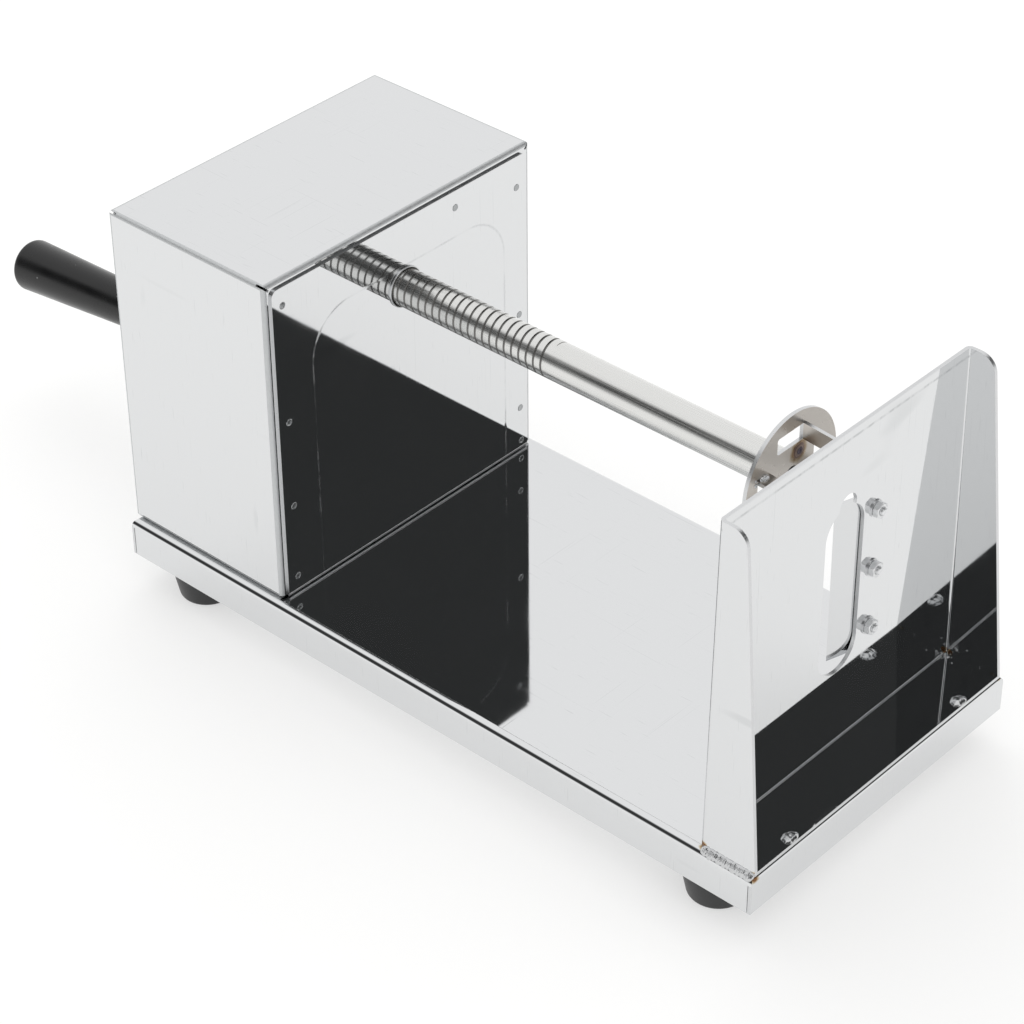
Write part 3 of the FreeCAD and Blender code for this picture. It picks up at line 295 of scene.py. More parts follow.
def polished_sheet(name, base, roughness, scratched):
    """Sheet with slow waves, smears and three directions of hairline scratches."""
    material, tree, shader, mm = new_finish(name, base, roughness)
    place = node(tree, "Mapping", inputs={"Vector": mm, "Scale": one_per(SMEARS)})
    smear = node(tree, "TexNoise", inputs={"Vector": place, "Scale": 1.0, "Detail": 4.0})
    soft = node(tree, "MapRange", inputs={
        "Value": smear, "From Min": 0.35, "From Max": 0.75,
        "To Min": roughness * CLEANEST, "To Max": roughness * SMEARIEST})
    feed(shader.inputs["Roughness"], soft)
    place = node(tree, "Mapping", inputs={"Vector": mm, "Scale": one_per(WAVES)})
    wave = node(tree, "TexNoise", inputs={"Vector": place, "Scale": 1.0, "Detail": 1.0})
    raised = node(tree, "Bump", inputs={"Height": wave, "Distance": WAVE_DEPTH * MM})
    tone = colour(base)
    for run in SCRATCHES:
        place = node(tree, "Mapping", inputs={"Vector": mm, "Scale": one_per(run)})
        hair = node(tree, "TexNoise", inputs={"Vector": place, "Scale": 1.0, "Detail": 1.0})
        line = node(tree, "MapRange", SMOOTH, {
            "Value": hair, "From Min": 0.70, "From Max": 0.80, "To Max": 0.4})
        raised = node(tree, "Bump", inputs={
            "Height": line, "Distance": SCRATCH_DEPTH * MM, "Normal": raised})
        tone = node(tree, "Mix", MIX_COLOURS, {
            "Factor": line, COLOUR_A: tone, COLOUR_B: colour(scratched)}).outputs[MIXED]
    feed(shader.inputs["Normal"], raised)
    feed(shader.inputs["Base Color"], tone)
    return material, tree, shader, mm


sheet_finish = polished_sheet("mirror_polished_stainless", *MIRROR_POLISH)[0]
rear_finish = polished_sheet("mill_polished_stainless", *MILL_POLISH)[0]
print("polished sheet finishes made")

# %% [markdown]
# ## A frame that prints through
# The front panel is spot-welded over a frame whose opening has round upper corners, and the
# thin sheet shows the opening's edge as a faint crease. The crease is a line at a fixed
# distance from a rounded rectangle, which a shader can work out: fold the plane into one
# quarter, take the distance past the straight sides, and subtract the corner's radius. The
# rectangle reaches far below the panel, so that its lower corners don't show. The crease lies
# over the sheet's own waves and scratches, so one small function asks what feeds an input now.

# %% Front panel sheet and its crease
CREASE_MIDDLE = (0.0, 3.0, DECK_Z + 38.0)       # of the frame's opening
CREASE_HALF = (0.0, 52.5, 80.0)                 # its half width and half height
CREASE_CORNER = 20.0
CREASE_WIDTH, CREASE_DEPTH = 0.8, 0.06


def fed_by(socket):
    """What an input has now: the output that is linked to it, or else its value."""
    return socket.links[0].from_socket if socket.is_linked else socket.default_value


panel_finish, tree, shader, mm = polished_sheet("mirror_polished_stainless_creased", *MIRROR_POLISH)
straight = tuple(max(0.0, half - CREASE_CORNER) for half in CREASE_HALF)
offset = node(tree, "VectorMath", {"operation": "SUBTRACT"}, {0: mm, 1: CREASE_MIDDLE})
flat = node(tree, "VectorMath", {"operation": "MULTIPLY"}, {0: offset, 1: (0, 1, 1)})
quarter = node(tree, "VectorMath", {"operation": "ABSOLUTE"}, {0: flat})
past = node(tree, "VectorMath", {"operation": "SUBTRACT"}, {0: quarter, 1: straight})
outside = node(tree, "VectorMath", {"operation": "MAXIMUM"}, {0: past, 1: (0, 0, 0)})
reach = node(tree, "VectorMath", {"operation": "LENGTH"}, {0: outside}).outputs["Value"]
off_line = node(tree, "Math", {"operation": "SUBTRACT"}, {0: reach, 1: CREASE_CORNER})
crease = node(tree, "MapRange", SMOOTH, {
    "Value": off_line, "From Min": -CREASE_WIDTH, "From Max": CREASE_WIDTH})
creased = node(tree, "Bump", inputs={
    "Height": crease, "Distance": CREASE_DEPTH * MM, "Normal": fed_by(shader.inputs["Normal"])})
feed(shader.inputs["Normal"], creased)
print(f"front panel sheet creased {CREASE_DEPTH} mm deep")

# %% [markdown]
# The crease stands a little proud, so cloths and hands have rubbed it: it is greyer and
# duller than the sheet, more in some places than in others. The places are about 9 mm long.

# %% Rubbed crease
RUBBED_PLACE = 9.0
RUBBED_ROUGHNESS = 0.55
off_crease = node(tree, "Math", {"operation": "ABSOLUTE"}, {0: off_line})
rub = node(tree, "MapRange", SMOOTH, {
    "Value": off_crease, "From Min": 0.0, "From Max": CREASE_WIDTH, "To Min": 1.0, "To Max": 0.0})
uneven = node(tree, "TexNoise", inputs={"Vector": mm, "Scale": 1 / RUBBED_PLACE, "Detail": 4.0})
patchy = node(tree, "MapRange", SMOOTH, {
    "Value": uneven, "From Min": 0.35, "From Max": 0.65, "To Min": 0.08, "To Max": 0.55})
rubbed = node(tree, "Math", {"operation": "MULTIPLY"}, {0: rub, 1: patchy})
greyer = node(tree, "Mix", MIX_COLOURS, {
    "Factor": rubbed, COLOUR_A: fed_by(shader.inputs["Base Color"]), COLOUR_B: colour("#C2C4C5")})
feed(shader.inputs["Base Color"], greyer.outputs[MIXED])
duller = node(tree, "Mix", inputs={
    "Factor": rubbed, "A": fed_by(shader.inputs["Roughness"]), "B": RUBBED_ROUGHNESS})
feed(shader.inputs["Roughness"], duller)
print("crease rubbed")

# %% [markdown]
# ## Heat tint beside a weld
# Stainless steel that has been hot keeps a skin of oxide in rings: purple and brown towards
# the weld, then straw, then clean metal. A colour ramp over the distance to the nearest weld
# draws the rings, and a noise with lumps of 2.2 mm keeps them from being perfect circles. The
# oxide is dull as well as coloured, so the roughness rises with it.

# %% Heat tint
TINT_LUMP = 2.2
OXIDE_ROUGHNESS = 0.5


def heat_tint(shader, mm, welds, rings, ragged=0.22):
    """Multiply the base colour by rings round each weld, given as (place in mm, radius)."""
    tree = shader.id_data
    patchy = node(tree, "TexNoise", inputs={"Vector": mm, "Scale": 1 / TINT_LUMP, "Detail": 3.0})
    wander = node(tree, "MapRange", inputs={
        "Value": patchy, "From Min": 0.2, "From Max": 0.8, "To Min": -ragged, "To Max": ragged})
    nearest = None
    for middle, radius in welds:
        far = node(tree, "VectorMath", {"operation": "DISTANCE"}, {0: mm, 1: middle})
        share = node(tree, "Math", {"operation": "DIVIDE"}, {0: far.outputs["Value"], 1: radius})
        nearest = share if nearest is None else node(
            tree, "Math", {"operation": "MINIMUM"}, {0: nearest, 1: share})
    wavering = node(tree, "Math", {"operation": "ADD"}, {0: nearest, 1: wander})
    ramp = node(tree, "ValToRGB", inputs={"Fac": wavering})
    stops = ramp.color_ramp.elements
    while len(stops) < len(rings):
        stops.new(0.5)
    for stop, (where, hex_value) in zip(stops, rings):
        stop.position = where
        stop.color = colour(hex_value)
    base, polish = shader.inputs["Base Color"], shader.inputs["Roughness"]
    tinted = node(tree, "Mix", {**MIX_COLOURS, "blend_type": "MULTIPLY"}, {
        "Factor": 1.0, COLOUR_A: fed_by(base), COLOUR_B: ramp})
    feed(base, tinted.outputs[MIXED])
    oxide = node(tree, "MapRange", SMOOTH, {
        "Value": wavering, "From Min": 0.3, "From Max": 1.0,
        "To Min": OXIDE_ROUGHNESS, "To Max": 0.0})
    feed(polish, node(tree, "Math", {"operation": "MAXIMUM"}, {0: fed_by(polish), 1: oxide}))


print(f"oxide dulls the polish up to a roughness of {OXIDE_ROUGHNESS}")

# %% [markdown]
# ## Sheet beside the welds
# The blade plate and the tray are welded along the plate's foot, by two tacks and a run at
# each wing. The welds were quick and the sheet is thin, so each tint is a narrow halo of
# straw and brown. It is least where a run ends against the plate's back, which drew the heat
# away.

# %% Welded sheet
SHEET_RINGS = ((0.00, "#A89A90"), (0.35, "#A87C55"), (0.50, "#946546"), (0.66, "#C2A680"),
               (0.84, "#EBE3D3"), (1.00, "#FFFFFF"))
TACK_Y = 50.0
TACK_TINT, RUN_TINT, RUN_REAR_TINT, CORNER_TINT = 3.0, 2.8, 2.2, 1.4      # radii
plate_low, plate_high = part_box("blade_plate")
PLATE_BACK, FLANGE_END = drawing_x(plate_low), drawing_x(plate_high)
WING_Y = plate_high.y / MM
FLANGE_TOP = DECK_Z + 1.5                   # the plate's flange lies on the deck
weld_places = [(at(FLANGE_END - 2.2, side * TACK_Y, FLANGE_TOP) / MM, TACK_TINT)
               for side in (-1, 1)]
weld_places += [
    (at(PLATE_BACK + 1.5, -WING_Y, DECK_Z + 1) / MM, RUN_REAR_TINT),    # near run's rear end
    (at(FLANGE_END + 0.5, -WING_Y, DECK_Z) / MM, RUN_TINT),             # and its front end
    (at(PLATE_BACK + 3, WING_Y - 1, DECK_Z + 2) / MM, CORNER_TINT),     # far run's rear end
    (at(FLANGE_END - 2, WING_Y, DECK_Z) / MM, RUN_TINT),                # and its front end
]
tinted_sheet, tree, shader, mm = polished_sheet("mirror_polished_stainless_welded", *MIRROR_POLISH)
heat_tint(shader, mm, weld_places, SHEET_RINGS)
print(f"heat tint round {len(weld_places)} welds")

# %% [markdown]
# The plate's top edge was run between rollers to blunt it. They left a thin line of scuffs a
# little below the edge, broken into pieces of about 3 mm.

# %% Roller line below the plate's top edge
ROLLER_LINE = 3.4           # below the edge
ROLLER_WIDTH = 0.9
ROLLER_PIECE = 3.0
PLATE_FLAT = 1.8            # the flat plate lies within this of its back
line_z = plate_high.z / MM - ROLLER_LINE
axes = node(tree, "SeparateXYZ", inputs={"Vector": mm}).outputs
on_plate = node(tree, "Math", {"operation": "LESS_THAN"}, {
    0: axes["X"], 1: plate_low.x / MM + PLATE_FLAT})        # the wings don't have the line
off_line = node(tree, "Math", {"operation": "SUBTRACT"}, {0: axes["Z"], 1: line_z})
beside = node(tree, "Math", {"operation": "ABSOLUTE"}, {0: off_line})
on_line = node(tree, "MapRange", SMOOTH, {
    "Value": beside, "From Min": 0.0, "From Max": ROLLER_WIDTH, "To Min": 1.0, "To Max": 0.0})
broken = node(tree, "TexNoise", inputs={"Vector": mm, "Scale": 1 / ROLLER_PIECE, "Detail": 4.0})
here_and_there = node(tree, "MapRange", SMOOTH, {
    "Value": broken, "From Min": 0.35, "From Max": 0.62, "To Min": 0.2, "To Max": 0.8})
scuffs = node(tree, "Math", {"operation": "MULTIPLY"}, {0: on_line, 1: here_and_there})
scuffed = node(tree, "Math", {"operation": "MULTIPLY"}, {0: scuffs, 1: on_plate})
greyer = node(tree, "Mix", MIX_COLOURS, {
    "Factor": scuffed, COLOUR_A: fed_by(shader.inputs["Base Color"]), COLOUR_B: colour("#B4B6B7")})
feed(shader.inputs["Base Color"], greyer.outputs[MIXED])
print(f"roller line at {line_z:.1f} mm")

# %% [markdown]
# ## Sheared edges
# Where sheet is cut, the edge isn't polished: the shear leaves a bright, finely torn band.
# It scatters light, so it looks like a thin light line round every dark reflection. The
# tearing is drawn 0.5 mm coarse, more than the real one, to show.

# %% Sheared edge finish
TEAR, TEAR_DEPTH = 0.5, 0.02
sheared_edge, tree, shader, mm = new_finish("sheared_stainless_edge", "#D4D5D6", 0.34)
tear = node(tree, "TexNoise", inputs={"Vector": mm, "Scale": 1 / TEAR})
torn = node(tree, "MapRange", inputs={
    "Value": tear, "From Min": 0.3, "From Max": 0.7, "To Min": 0.26, "To Max": 0.44})
feed(shader.inputs["Roughness"], torn)
ridges = node(tree, "Bump", inputs={"Height": tear, "Distance": TEAR_DEPTH * MM})
feed(shader.inputs["Normal"], ridges)
print("sheared edge finish made")

# %% [markdown]
# ## Bends
# The press that folds the housing rubs its polish away along the outside of each tight bend,
# so a fold is a soft grey line and not a sharp reflection. The rubbed skin is drawn in patches
# about 1 mm wide.

# %% Rubbed bend finish
BEND_PATCH = 1.0
rubbed_bend, tree, shader, mm = new_finish("rubbed_stainless_bend", "#C4C6C7", 0.46, 0.80)
streak = node(tree, "TexNoise", inputs={"Vector": mm, "Scale": 1 / BEND_PATCH, "Detail": 3.0})
dull = node(tree, "MapRange", inputs={
    "Value": streak, "From Min": 0.3, "From Max": 0.7, "To Min": 0.40, "To Max": 0.56})
feed(shader.inputs["Roughness"], dull)
print("bend finish made")

# %% [markdown]
# ## The other metals
# Each of the turned, ground and drawn pieces shows the tool that made it. A lathe leaves
# rings round the axis, a grinder leaves lines across an edge, and a polishing belt leaves
# lines along a tube. All of them are one noise, stretched along the direction of the cut.
# Lines finer than 0.5 mm are drawn that wide, so that they show.

# %% Worked metals
def worked_metal(name, base, roughness, lengths, depth, spread=0.35):
    """Metal with tool lines: a noise stretched over three lengths, and its depth, in mm."""
    material, tree, shader, mm = new_finish(name, base, roughness)
    place = node(tree, "Mapping", inputs={"Vector": mm, "Scale": one_per(lengths)})
    lines = node(tree, "TexNoise", inputs={"Vector": place, "Scale": 1.0})
    dull = node(tree, "MapRange", inputs={
        "Value": lines, "From Min": 0.25, "From Max": 0.75,
        "To Min": roughness * (1 - spread), "To Max": roughness * (1 + spread)})
    feed(shader.inputs["Roughness"], dull)
    grooves = node(tree, "Bump", inputs={"Height": lines, "Distance": depth * MM})
    feed(shader.inputs["Normal"], grooves)
    return material, tree, shader, mm


# belt-polished along the tube: soft streaks of light that run its whole length
belt_polished = worked_metal(
    "belt_polished_stainless_tube", "#DEDEDC", 0.25, (45, 0.5, 0.5), 0.004)[0]
# turned: fine rings spread each highlight along the axis; the brass glows yellow
turned_stainless = worked_metal("turned_stainless", "#CDCECF", 0.24, (0.5, 30, 30), 0.004)[0]
turned_brass = worked_metal("turned_brass", "#D9B468", 0.24, (0.5, 30, 30), 0.004)[0]
# rolled and tumbled: small screws and nuts with a soft, frosty shine
bright_fastener = worked_metal("rolled_stainless_fastener", "#E2E3E4", 0.40, (0.9, 0.9, 0.9), 0.02)[0]
# linished on a belt: an even satin with its lines along the arm
flat_bar = worked_metal("linished_stainless_bar", "#CFD0D1", 0.22, (0.8, 0.8, 40), 0.005)[0]
# zinc-plated: the crystals of the coating make a cloudy grey
zinc_plate = worked_metal("zinc_plated_plate", "#B9BABC", 0.38, (6, 6, 6), 0.01)[0]
# ground: close lines across the blade, and still sharp reflections
ground_blade = worked_metal("ground_blade_stainless", "#DADBDC", 0.10, (8, 20, 0.6), 0.002)[0]
# cast by the arc: bright, with a skin that is lumpy all over
weld_bead = worked_metal("tig_weld_bead", "#CBCCCD", 0.20, (1.2, 1.2, 1.2), 0.03)[0]
print("worked metals made")

# %% [markdown]
# ## The pronged disc's finish
# The disc is laser-cut from satin sheet, which the rolls leave evenly dull with a 2 mm
# mottle, so it looks warmer and softer than the mirror pieces. The heat of its welds is
# added when their places are known.

# %% Satin disc
satin_disc, _, disc_shader, disc_mm = worked_metal(
    "satin_stainless_disc", "#CBC5BE", 0.30, (2.0, 2.0, 2.0), 0.003, spread=0.12)
print("satin disc finish made")

# %% [markdown]
# ## Black plastic
# The grip is a glossy black moulding. It isn't perfectly smooth: a mould leaves a faint
# ripple called orange peel about 2 mm wide, hands leave duller places, and static holds
# specks of dust. Light grey specks about 0.5 mm wide are set on an 8 mm lattice, jittered.

# %% Glossy black plastic
PEEL, PEEL_DEPTH = 2.2, 0.012
HANDLED = (18, 12, 12)
SPECK_SPACING, SPECK_CORE, SPECK_EDGE = 8.0, 0.16, 0.48      # the last two are radii
grip_plastic, tree, shader, mm = new_finish("moulded_black_phenolic", "#060607", 0.15, 0.0)
shader.inputs["IOR"].default_value = 1.45
peel = node(tree, "TexNoise", inputs={"Vector": mm, "Scale": 1 / PEEL})
peeled = node(tree, "Bump", inputs={"Height": peel, "Distance": PEEL_DEPTH * MM})
feed(shader.inputs["Normal"], peeled)
place = node(tree, "Mapping", inputs={"Vector": mm, "Scale": one_per(HANDLED)})
handled = node(tree, "TexNoise", inputs={"Vector": place, "Scale": 1.0, "Detail": 3.0})
hazy = node(tree, "MapRange", inputs={
    "Value": handled, "From Min": 0.3, "From Max": 0.7, "To Min": 0.18, "To Max": 0.32})
feed(shader.inputs["Roughness"], hazy)
lattice = node(tree, "TexVoronoi", inputs={
    "Vector": mm, "Scale": 1 / SPECK_SPACING, "Randomness": 1.0})
speck = node(tree, "MapRange", SMOOTH, {
    "Value": lattice, "From Min": SPECK_CORE / SPECK_SPACING,
    "From Max": SPECK_EDGE / SPECK_SPACING, "To Min": 0.8, "To Max": 0.0})
dusty = node(tree, "Mix", MIX_COLOURS, {
    "Factor": speck, COLOUR_A: fed_by(shader.inputs["Base Color"]), COLOUR_B: colour("#8A8A8A")})
feed(shader.inputs["Base Color"], dusty.outputs[MIXED])
print("grip plastic made")

# %% [markdown]
# ## Black rubber
# The feet are moulded rubber, which is a dull dark grey: it has a fine grain, drawn 1.2 mm
# coarse to show, and a greyish bloom in patches where it has been rubbed.

# %% Black rubber
GRAIN, GRAIN_DEPTH = 1.2, 0.03
BLOOM_PATCH = 9.0
foot_rubber, tree, shader, mm = new_finish("moulded_black_rubber", "#1C1C1D", 0.42, 0.0)
shader.inputs["IOR"].default_value = 1.52
grain = node(tree, "TexNoise", inputs={"Vector": mm, "Scale": 1 / GRAIN, "Detail": 3.0})
grained = node(tree, "Bump", inputs={"Height": grain, "Distance": GRAIN_DEPTH * MM})
feed(shader.inputs["Normal"], grained)
patches = node(tree, "TexNoise", inputs={"Vector": mm, "Scale": 1 / BLOOM_PATCH, "Detail": 3.0})
bloom = node(tree, "MapRange", SMOOTH, {
    "Value": patches, "From Min": 0.5, "From Max": 0.8, "To Max": 0.35})
bloomed = node(tree, "Mix", MIX_COLOURS, {
    "Factor": bloom, COLOUR_A: fed_by(shader.inputs["Base Color"]), COLOUR_B: colour("#3A3A3A")})
feed(shader.inputs["Base Color"], bloomed.outputs[MIXED])
print("foot rubber made")

# %% [markdown]
# ## Giving each drawn piece its finish
# The record names a material slot for every piece. The slots that cover one kind of work get
# one finish. The blade plate and tray take the tinted version of the sheet finish, and the
# front panel the creased one.

# %% Finishes by slot
finishes = {
    "sheet_steel": sheet_finish,
    "rear_sheet": rear_finish,
    "plated_plate": zinc_plate,
    "blade_steel": ground_blade,
    "screw_steel": belt_polished,
    "disc_steel": satin_disc,
    "weld_metal": weld_bead,
    "fastener_steel": bright_fastener,
    "turned_steel": turned_stainless,
    "nut_brass": turned_brass,
    "arm_steel": flat_bar,
    "grip_plastic": grip_plastic,
    "foot_rubber": foot_rubber,
}
own_finish = {"blade_plate": tinted_sheet, "base_tray": tinted_sheet, "front_panel": panel_finish}
for name, drawn in nodes.items():
    drawn.data.materials.clear()
    drawn.data.materials.append(own_finish.get(name, finishes[slot_of[name]]))
print(f"finishes given to {len(nodes)} pieces")

# %% [markdown]
# ## Cut edges and bends
# A sheet piece has wide faces with only the sheet's thickness of metal behind them, and
# narrow cut edges with a long run of metal behind them. So from each face a line is sent
# inwards, and if it travels further than two sheets before it comes out, the face is an edge.
# The sheet's thickness is what the largest face measures. On the housing, the rest that look
# along none of the three axes are its tight bends.

# %% Cut edges and bends of the sheet pieces
SHEET_PIECES = ("base_tray", "housing_shell", "front_panel", "rear_panel", "blade_plate",
                "fork_disc")
SQUARE_ON = 0.998       # how well a flat face's normal agrees with an axis
JUST_INSIDE = 0.01 * MM
EDGE, BEND = 1, 2       # their places among the piece's materials


def mark_sheet(drawn, bends_rubbed):
    """Give a sheet piece's cut edges, and its bends if rubbed, their own finishes."""
    mesh = drawn.data
    mesh.materials.append(sheared_edge)
    mesh.materials.append(rubbed_bend)
    skin = BVHTree.FromPolygons([v.co for v in mesh.vertices], [p.vertices for p in mesh.polygons])
    behind = {}
    for face in mesh.polygons:
        _, _, _, run = skin.ray_cast(face.center - face.normal * JUST_INSIDE, -face.normal)
        behind[face.index] = run if run is not None else math.inf
    sheet = behind[max(mesh.polygons, key=lambda face: face.area).index]
    for face in mesh.polygons:
        if behind[face.index] > 2 * sheet:
            face.material_index = EDGE
        elif bends_rubbed and max(abs(share) for share in face.normal) < SQUARE_ON:
            face.material_index = BEND
    return sheet, [sum(f.material_index == kind for f in mesh.polygons) for kind in (EDGE, BEND)]


for name in SHEET_PIECES:
    sheet, (edges, bends) = mark_sheet(nodes[name], name == "housing_shell")
    print(f"{name}: sheet {sheet / MM:.2f} mm, {edges} faces of cut edge, {bends} of bend")

# %% [markdown]
# ## Making a mesh piece
# The pieces that are modelled again share two helpers: one makes the mesh from points and
# faces, and one puts the new piece in the drawn piece's place.

# %% Mesh helpers
SAME_POINT = 0.001 * MM


def new_piece(name, points, faces, sharp):
    """A mesh object with merged points, faces turned outwards and edges sharp past an angle."""
    mesh = bpy.data.meshes.new(name)
    mesh.from_pydata(points, [], faces)
    form = bmesh.new()
    form.from_mesh(mesh)
    bmesh.ops.remove_doubles(form, verts=form.verts, dist=SAME_POINT)
    bmesh.ops.recalc_face_normals(form, faces=form.faces)
    form.to_mesh(mesh)
    form.free()
    mesh.shade_smooth()
    mesh.set_sharp_from_angle(angle=math.radians(sharp))
    piece = bpy.data.objects.new(name, mesh)
    bpy.context.scene.collection.objects.link(piece)
    return piece


def stand_for(piece, drawn_name, finish=None):
    """The piece takes the place, the body and the finish of a drawn piece."""
    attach(piece, nodes[drawn_name]["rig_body"])
    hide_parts(drawn_name)
    piece.data.materials.append(finish or finishes[slot_of[drawn_name]])
    print(f"{piece.name}: {len(piece.data.polygons)} faces in place of {drawn_name}")


# %% [markdown]
# ## Turned forms
# Most of them are turned: an outline of distances along an axis and radii, swept round it.
# The outline may change with the angle, which gives hexagons too. A closed outline makes a
# ring, and an open one a skin. Turned rims are seldom left sharp, so one more helper rounds
# them.

# %% Lathe
def lathe(points, faces, outline, sides, place, closed=True):
    """Add a turned form. Its outline of (distance, radius) in mm may be worked out per angle."""
    first = len(points)
    for side in range(sides):
        angle = 2 * math.pi * side / sides
        profile = outline(angle) if callable(outline) else outline
        for distance, radius in profile:
            local = Vector((distance, radius * math.cos(angle), radius * math.sin(angle)))
            points.append(place @ (local * MM))
    count = len(profile)
    for side in range(sides):
        here = first + side * count
        there = first + (side + 1) % sides * count
        for k in range(count if closed else count - 1):
            after = (k + 1) % count
            faces.append((here + k, here + after, there + after, there + k))


def along(start, direction):
    """The placement that carries the X axis to a start point and a direction."""
    turned = X_DIRECTION.rotation_difference(direction).to_matrix().to_4x4()
    return Matrix.Translation(start) @ turned


def rounded_rim(front, radius, size, steps):
    """The outline of a rounded rim, from its front face to its outside."""
    corners = [math.pi / 2 * step / steps for step in range(steps + 1)]
    return [(front - size * (1 - math.cos(c)), radius - size * (1 - math.sin(c))) for c in corners]


print(f"a rim rounded in 8 steps takes {len(rounded_rim(0, 10, 1, steps=8))} points of the outline")

# %% [markdown]
# ## The skin of a thread
# The drive screw is a tube with a narrow groove cut round it, right-handed, leaving wide
# flat crests. It could be drawn as a texture, but the grooves show against the light along
# the tube's edge, so they are real geometry. Each column of points along the tube carries
# the groove's profile once per pitch, moved on a little from one column to the next, and at
# both ends the groove fades out over half a turn.

# %% Thread skin
FADE_TURNS = 0.5


def thread_skin(points, faces, start, end, radius, pitch, groove, sides, place):
    """Add the skin of a right-handed thread between two distances along the axis."""
    turns = math.ceil((end - start) / pitch) + 2
    first = len(points)
    for side in range(sides):
        angle = 2 * math.pi * side / sides
        for turn_number in range(-1, turns):
            middle = start + pitch * (turn_number + side / sides)
            for offset, depth in groove:
                distance = min(max(middle + offset, start), end)
                from_end = min(distance - start, end - distance)
                reach = radius - depth * min(1.0, from_end / (FADE_TURNS * pitch))
                local = Vector((distance, reach * math.cos(angle), reach * math.sin(angle)))
                points.append(place @ (local * MM))
    count = (turns + 1) * len(groove)
    for side in range(sides):
        here = first + side * count
        there = first + (side + 1) % sides * count
        shift = len(groove) if side == sides - 1 else 0
        for k in range(count - 1 - shift):
            faces.append((here + k, here + k + 1, there + k + 1 + shift, there + k + shift))


print(f"a thread fades out over {FADE_TURNS} turns")

# %% [markdown]
# ## The drive screw
# In front of the thread the tube is smooth. Its outline goes from the thread's rear end
# round the clip's groove and the open rear end, through the bore, and back along the outside
# to where the thread stops.

# %% Drive screw
THREAD_PITCH = 3.6
THREAD_REAR, THREAD_FRONT = -2.0, 161.0       # where it starts and ends, in the drawing's X
SHAFT_RADIUS = (shaft_high.z - shaft_low.z) / 2 / MM
SHAFT_BORE = 4.5
SHAFT_SIDES = 96
CLIP_GROOVE = 0.5
CHAMFER = 0.5
# one pitch of the thread: distances from the groove's middle, and depths
GROOVE = [(-1.8, 0.0), (-1.1, 0.0), (-0.50, 0.0), (-0.42, 0.12), (-0.30, 0.36), (-0.15, 0.47),
          (0.0, 0.5), (0.15, 0.47), (0.30, 0.36), (0.42, 0.12), (0.50, 0.0), (1.1, 0.0)]

on_axis = Matrix.Translation(at(0, 0, AXIS_Z))
tube_rear, tube_front = drawing_x(shaft_low), drawing_x(shaft_high)
clip_from, clip_to = [drawing_x(corner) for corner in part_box("thrust_clip")]
tube_outline = [
    (THREAD_REAR, SHAFT_RADIUS), (clip_to, SHAFT_RADIUS), (clip_to, SHAFT_RADIUS - CLIP_GROOVE),
    (clip_from, SHAFT_RADIUS - CLIP_GROOVE), (clip_from, SHAFT_RADIUS),
    (tube_rear + CHAMFER, SHAFT_RADIUS), (tube_rear, SHAFT_RADIUS - CHAMFER),
    (tube_rear, SHAFT_BORE + CHAMFER), (tube_rear + CHAMFER, SHAFT_BORE),
    (tube_front, SHAFT_BORE), (tube_front, SHAFT_RADIUS), (THREAD_FRONT, SHAFT_RADIUS),
]
points, faces = [], []
lathe(points, faces, tube_outline, SHAFT_SIDES, on_axis, closed=False)
thread_skin(points, faces, THREAD_REAR, THREAD_FRONT, SHAFT_RADIUS, THREAD_PITCH, GROOVE,
            SHAFT_SIDES, on_axis)
screw = new_piece("drive_screw", points, faces, sharp=28)
stand_for(screw, "screw_shaft")

# %% [markdown]
# The groove was cut after the tube was polished, so it is duller than the crests, and its
# darker colour is painted shade, the shade that falls in the narrow groove. Its faces are
# those of the thread that lie below the crests, but not as deep as the bore.

# %% Groove finish
PAINTED_SHADE = 1                                      # its place among the piece's materials
GROOVE_SHALLOWEST, GROOVE_DEEPEST = 0.05, 1.0
# darker base colour: painted shade in the thread's groove and in the bush's bore
painted_shade_finish = worked_metal("painted_shade_in_grooves", "#7E7D7B", 0.34, (0.6, 0.6, 0.6), 0.01)[0]
screw.data.materials.append(painted_shade_finish)
for face in screw.data.polygons:
    below = SHAFT_RADIUS - off_axis(face.center)
    if drawing_x(face.center) > THREAD_REAR and GROOVE_SHALLOWEST < below < GROOVE_DEEPEST:
        face.material_index = PAINTED_SHADE
print(f"groove: {sum(face.material_index for face in screw.data.polygons)} faces")

# %% [markdown]
# ## The front bush
# A turned ring lines the hole where the screw leaves the housing. Its outer rim is rounded
# and its bore is opened at the front. That slope and the bore take the groove's finish, whose
# darker colour is painted shade: the dark line of the gap round the screw.

# %% Front bush
BUSH_WALL = 0.95
BUSH_LEAD = 0.55
BUSH_SET_BACK = 0.8     # pressed in a little further than drawn
BUSH_RIM = 0.4
bush_low, bush_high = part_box("front_bush")
bush_r = (bush_high.z - bush_low.z) / 2 / MM
bush_back, bush_front = drawing_x(bush_low), drawing_x(bush_high) - BUSH_SET_BACK
outline = [(bush_back, bush_r - BUSH_WALL), (bush_front - BUSH_LEAD, bush_r - BUSH_WALL),
           (bush_front, bush_r - BUSH_WALL + BUSH_LEAD),
           *rounded_rim(bush_front, bush_r, BUSH_RIM, steps=5), (bush_back, bush_r)]
points, faces = [], []
lathe(points, faces, outline, SHAFT_SIDES, on_axis)
bush = new_piece("lipped_bush", points, faces, sharp=40)
stand_for(bush, "front_bush")
# painted shade on the bore and its front slope, for the shadow in the gap round the screw
bush.data.materials.append(painted_shade_finish)
for face in bush.data.polygons:
    if off_axis(face.center) < bush_r - BUSH_RIM:
        face.material_index = PAINTED_SHADE
print(f"bush: {sum(face.material_index for face in bush.data.polygons)} faces of painted shade")

# %% [markdown]
# ## Small pieces that share a node
# The drawing keeps all welds, nuts or screws of one kind in one node. To model each one
# again, its place is needed: points that are joined by edges belong to one solid, so a walk
# along the edges gathers them, and their lowest and highest coordinates give its box.

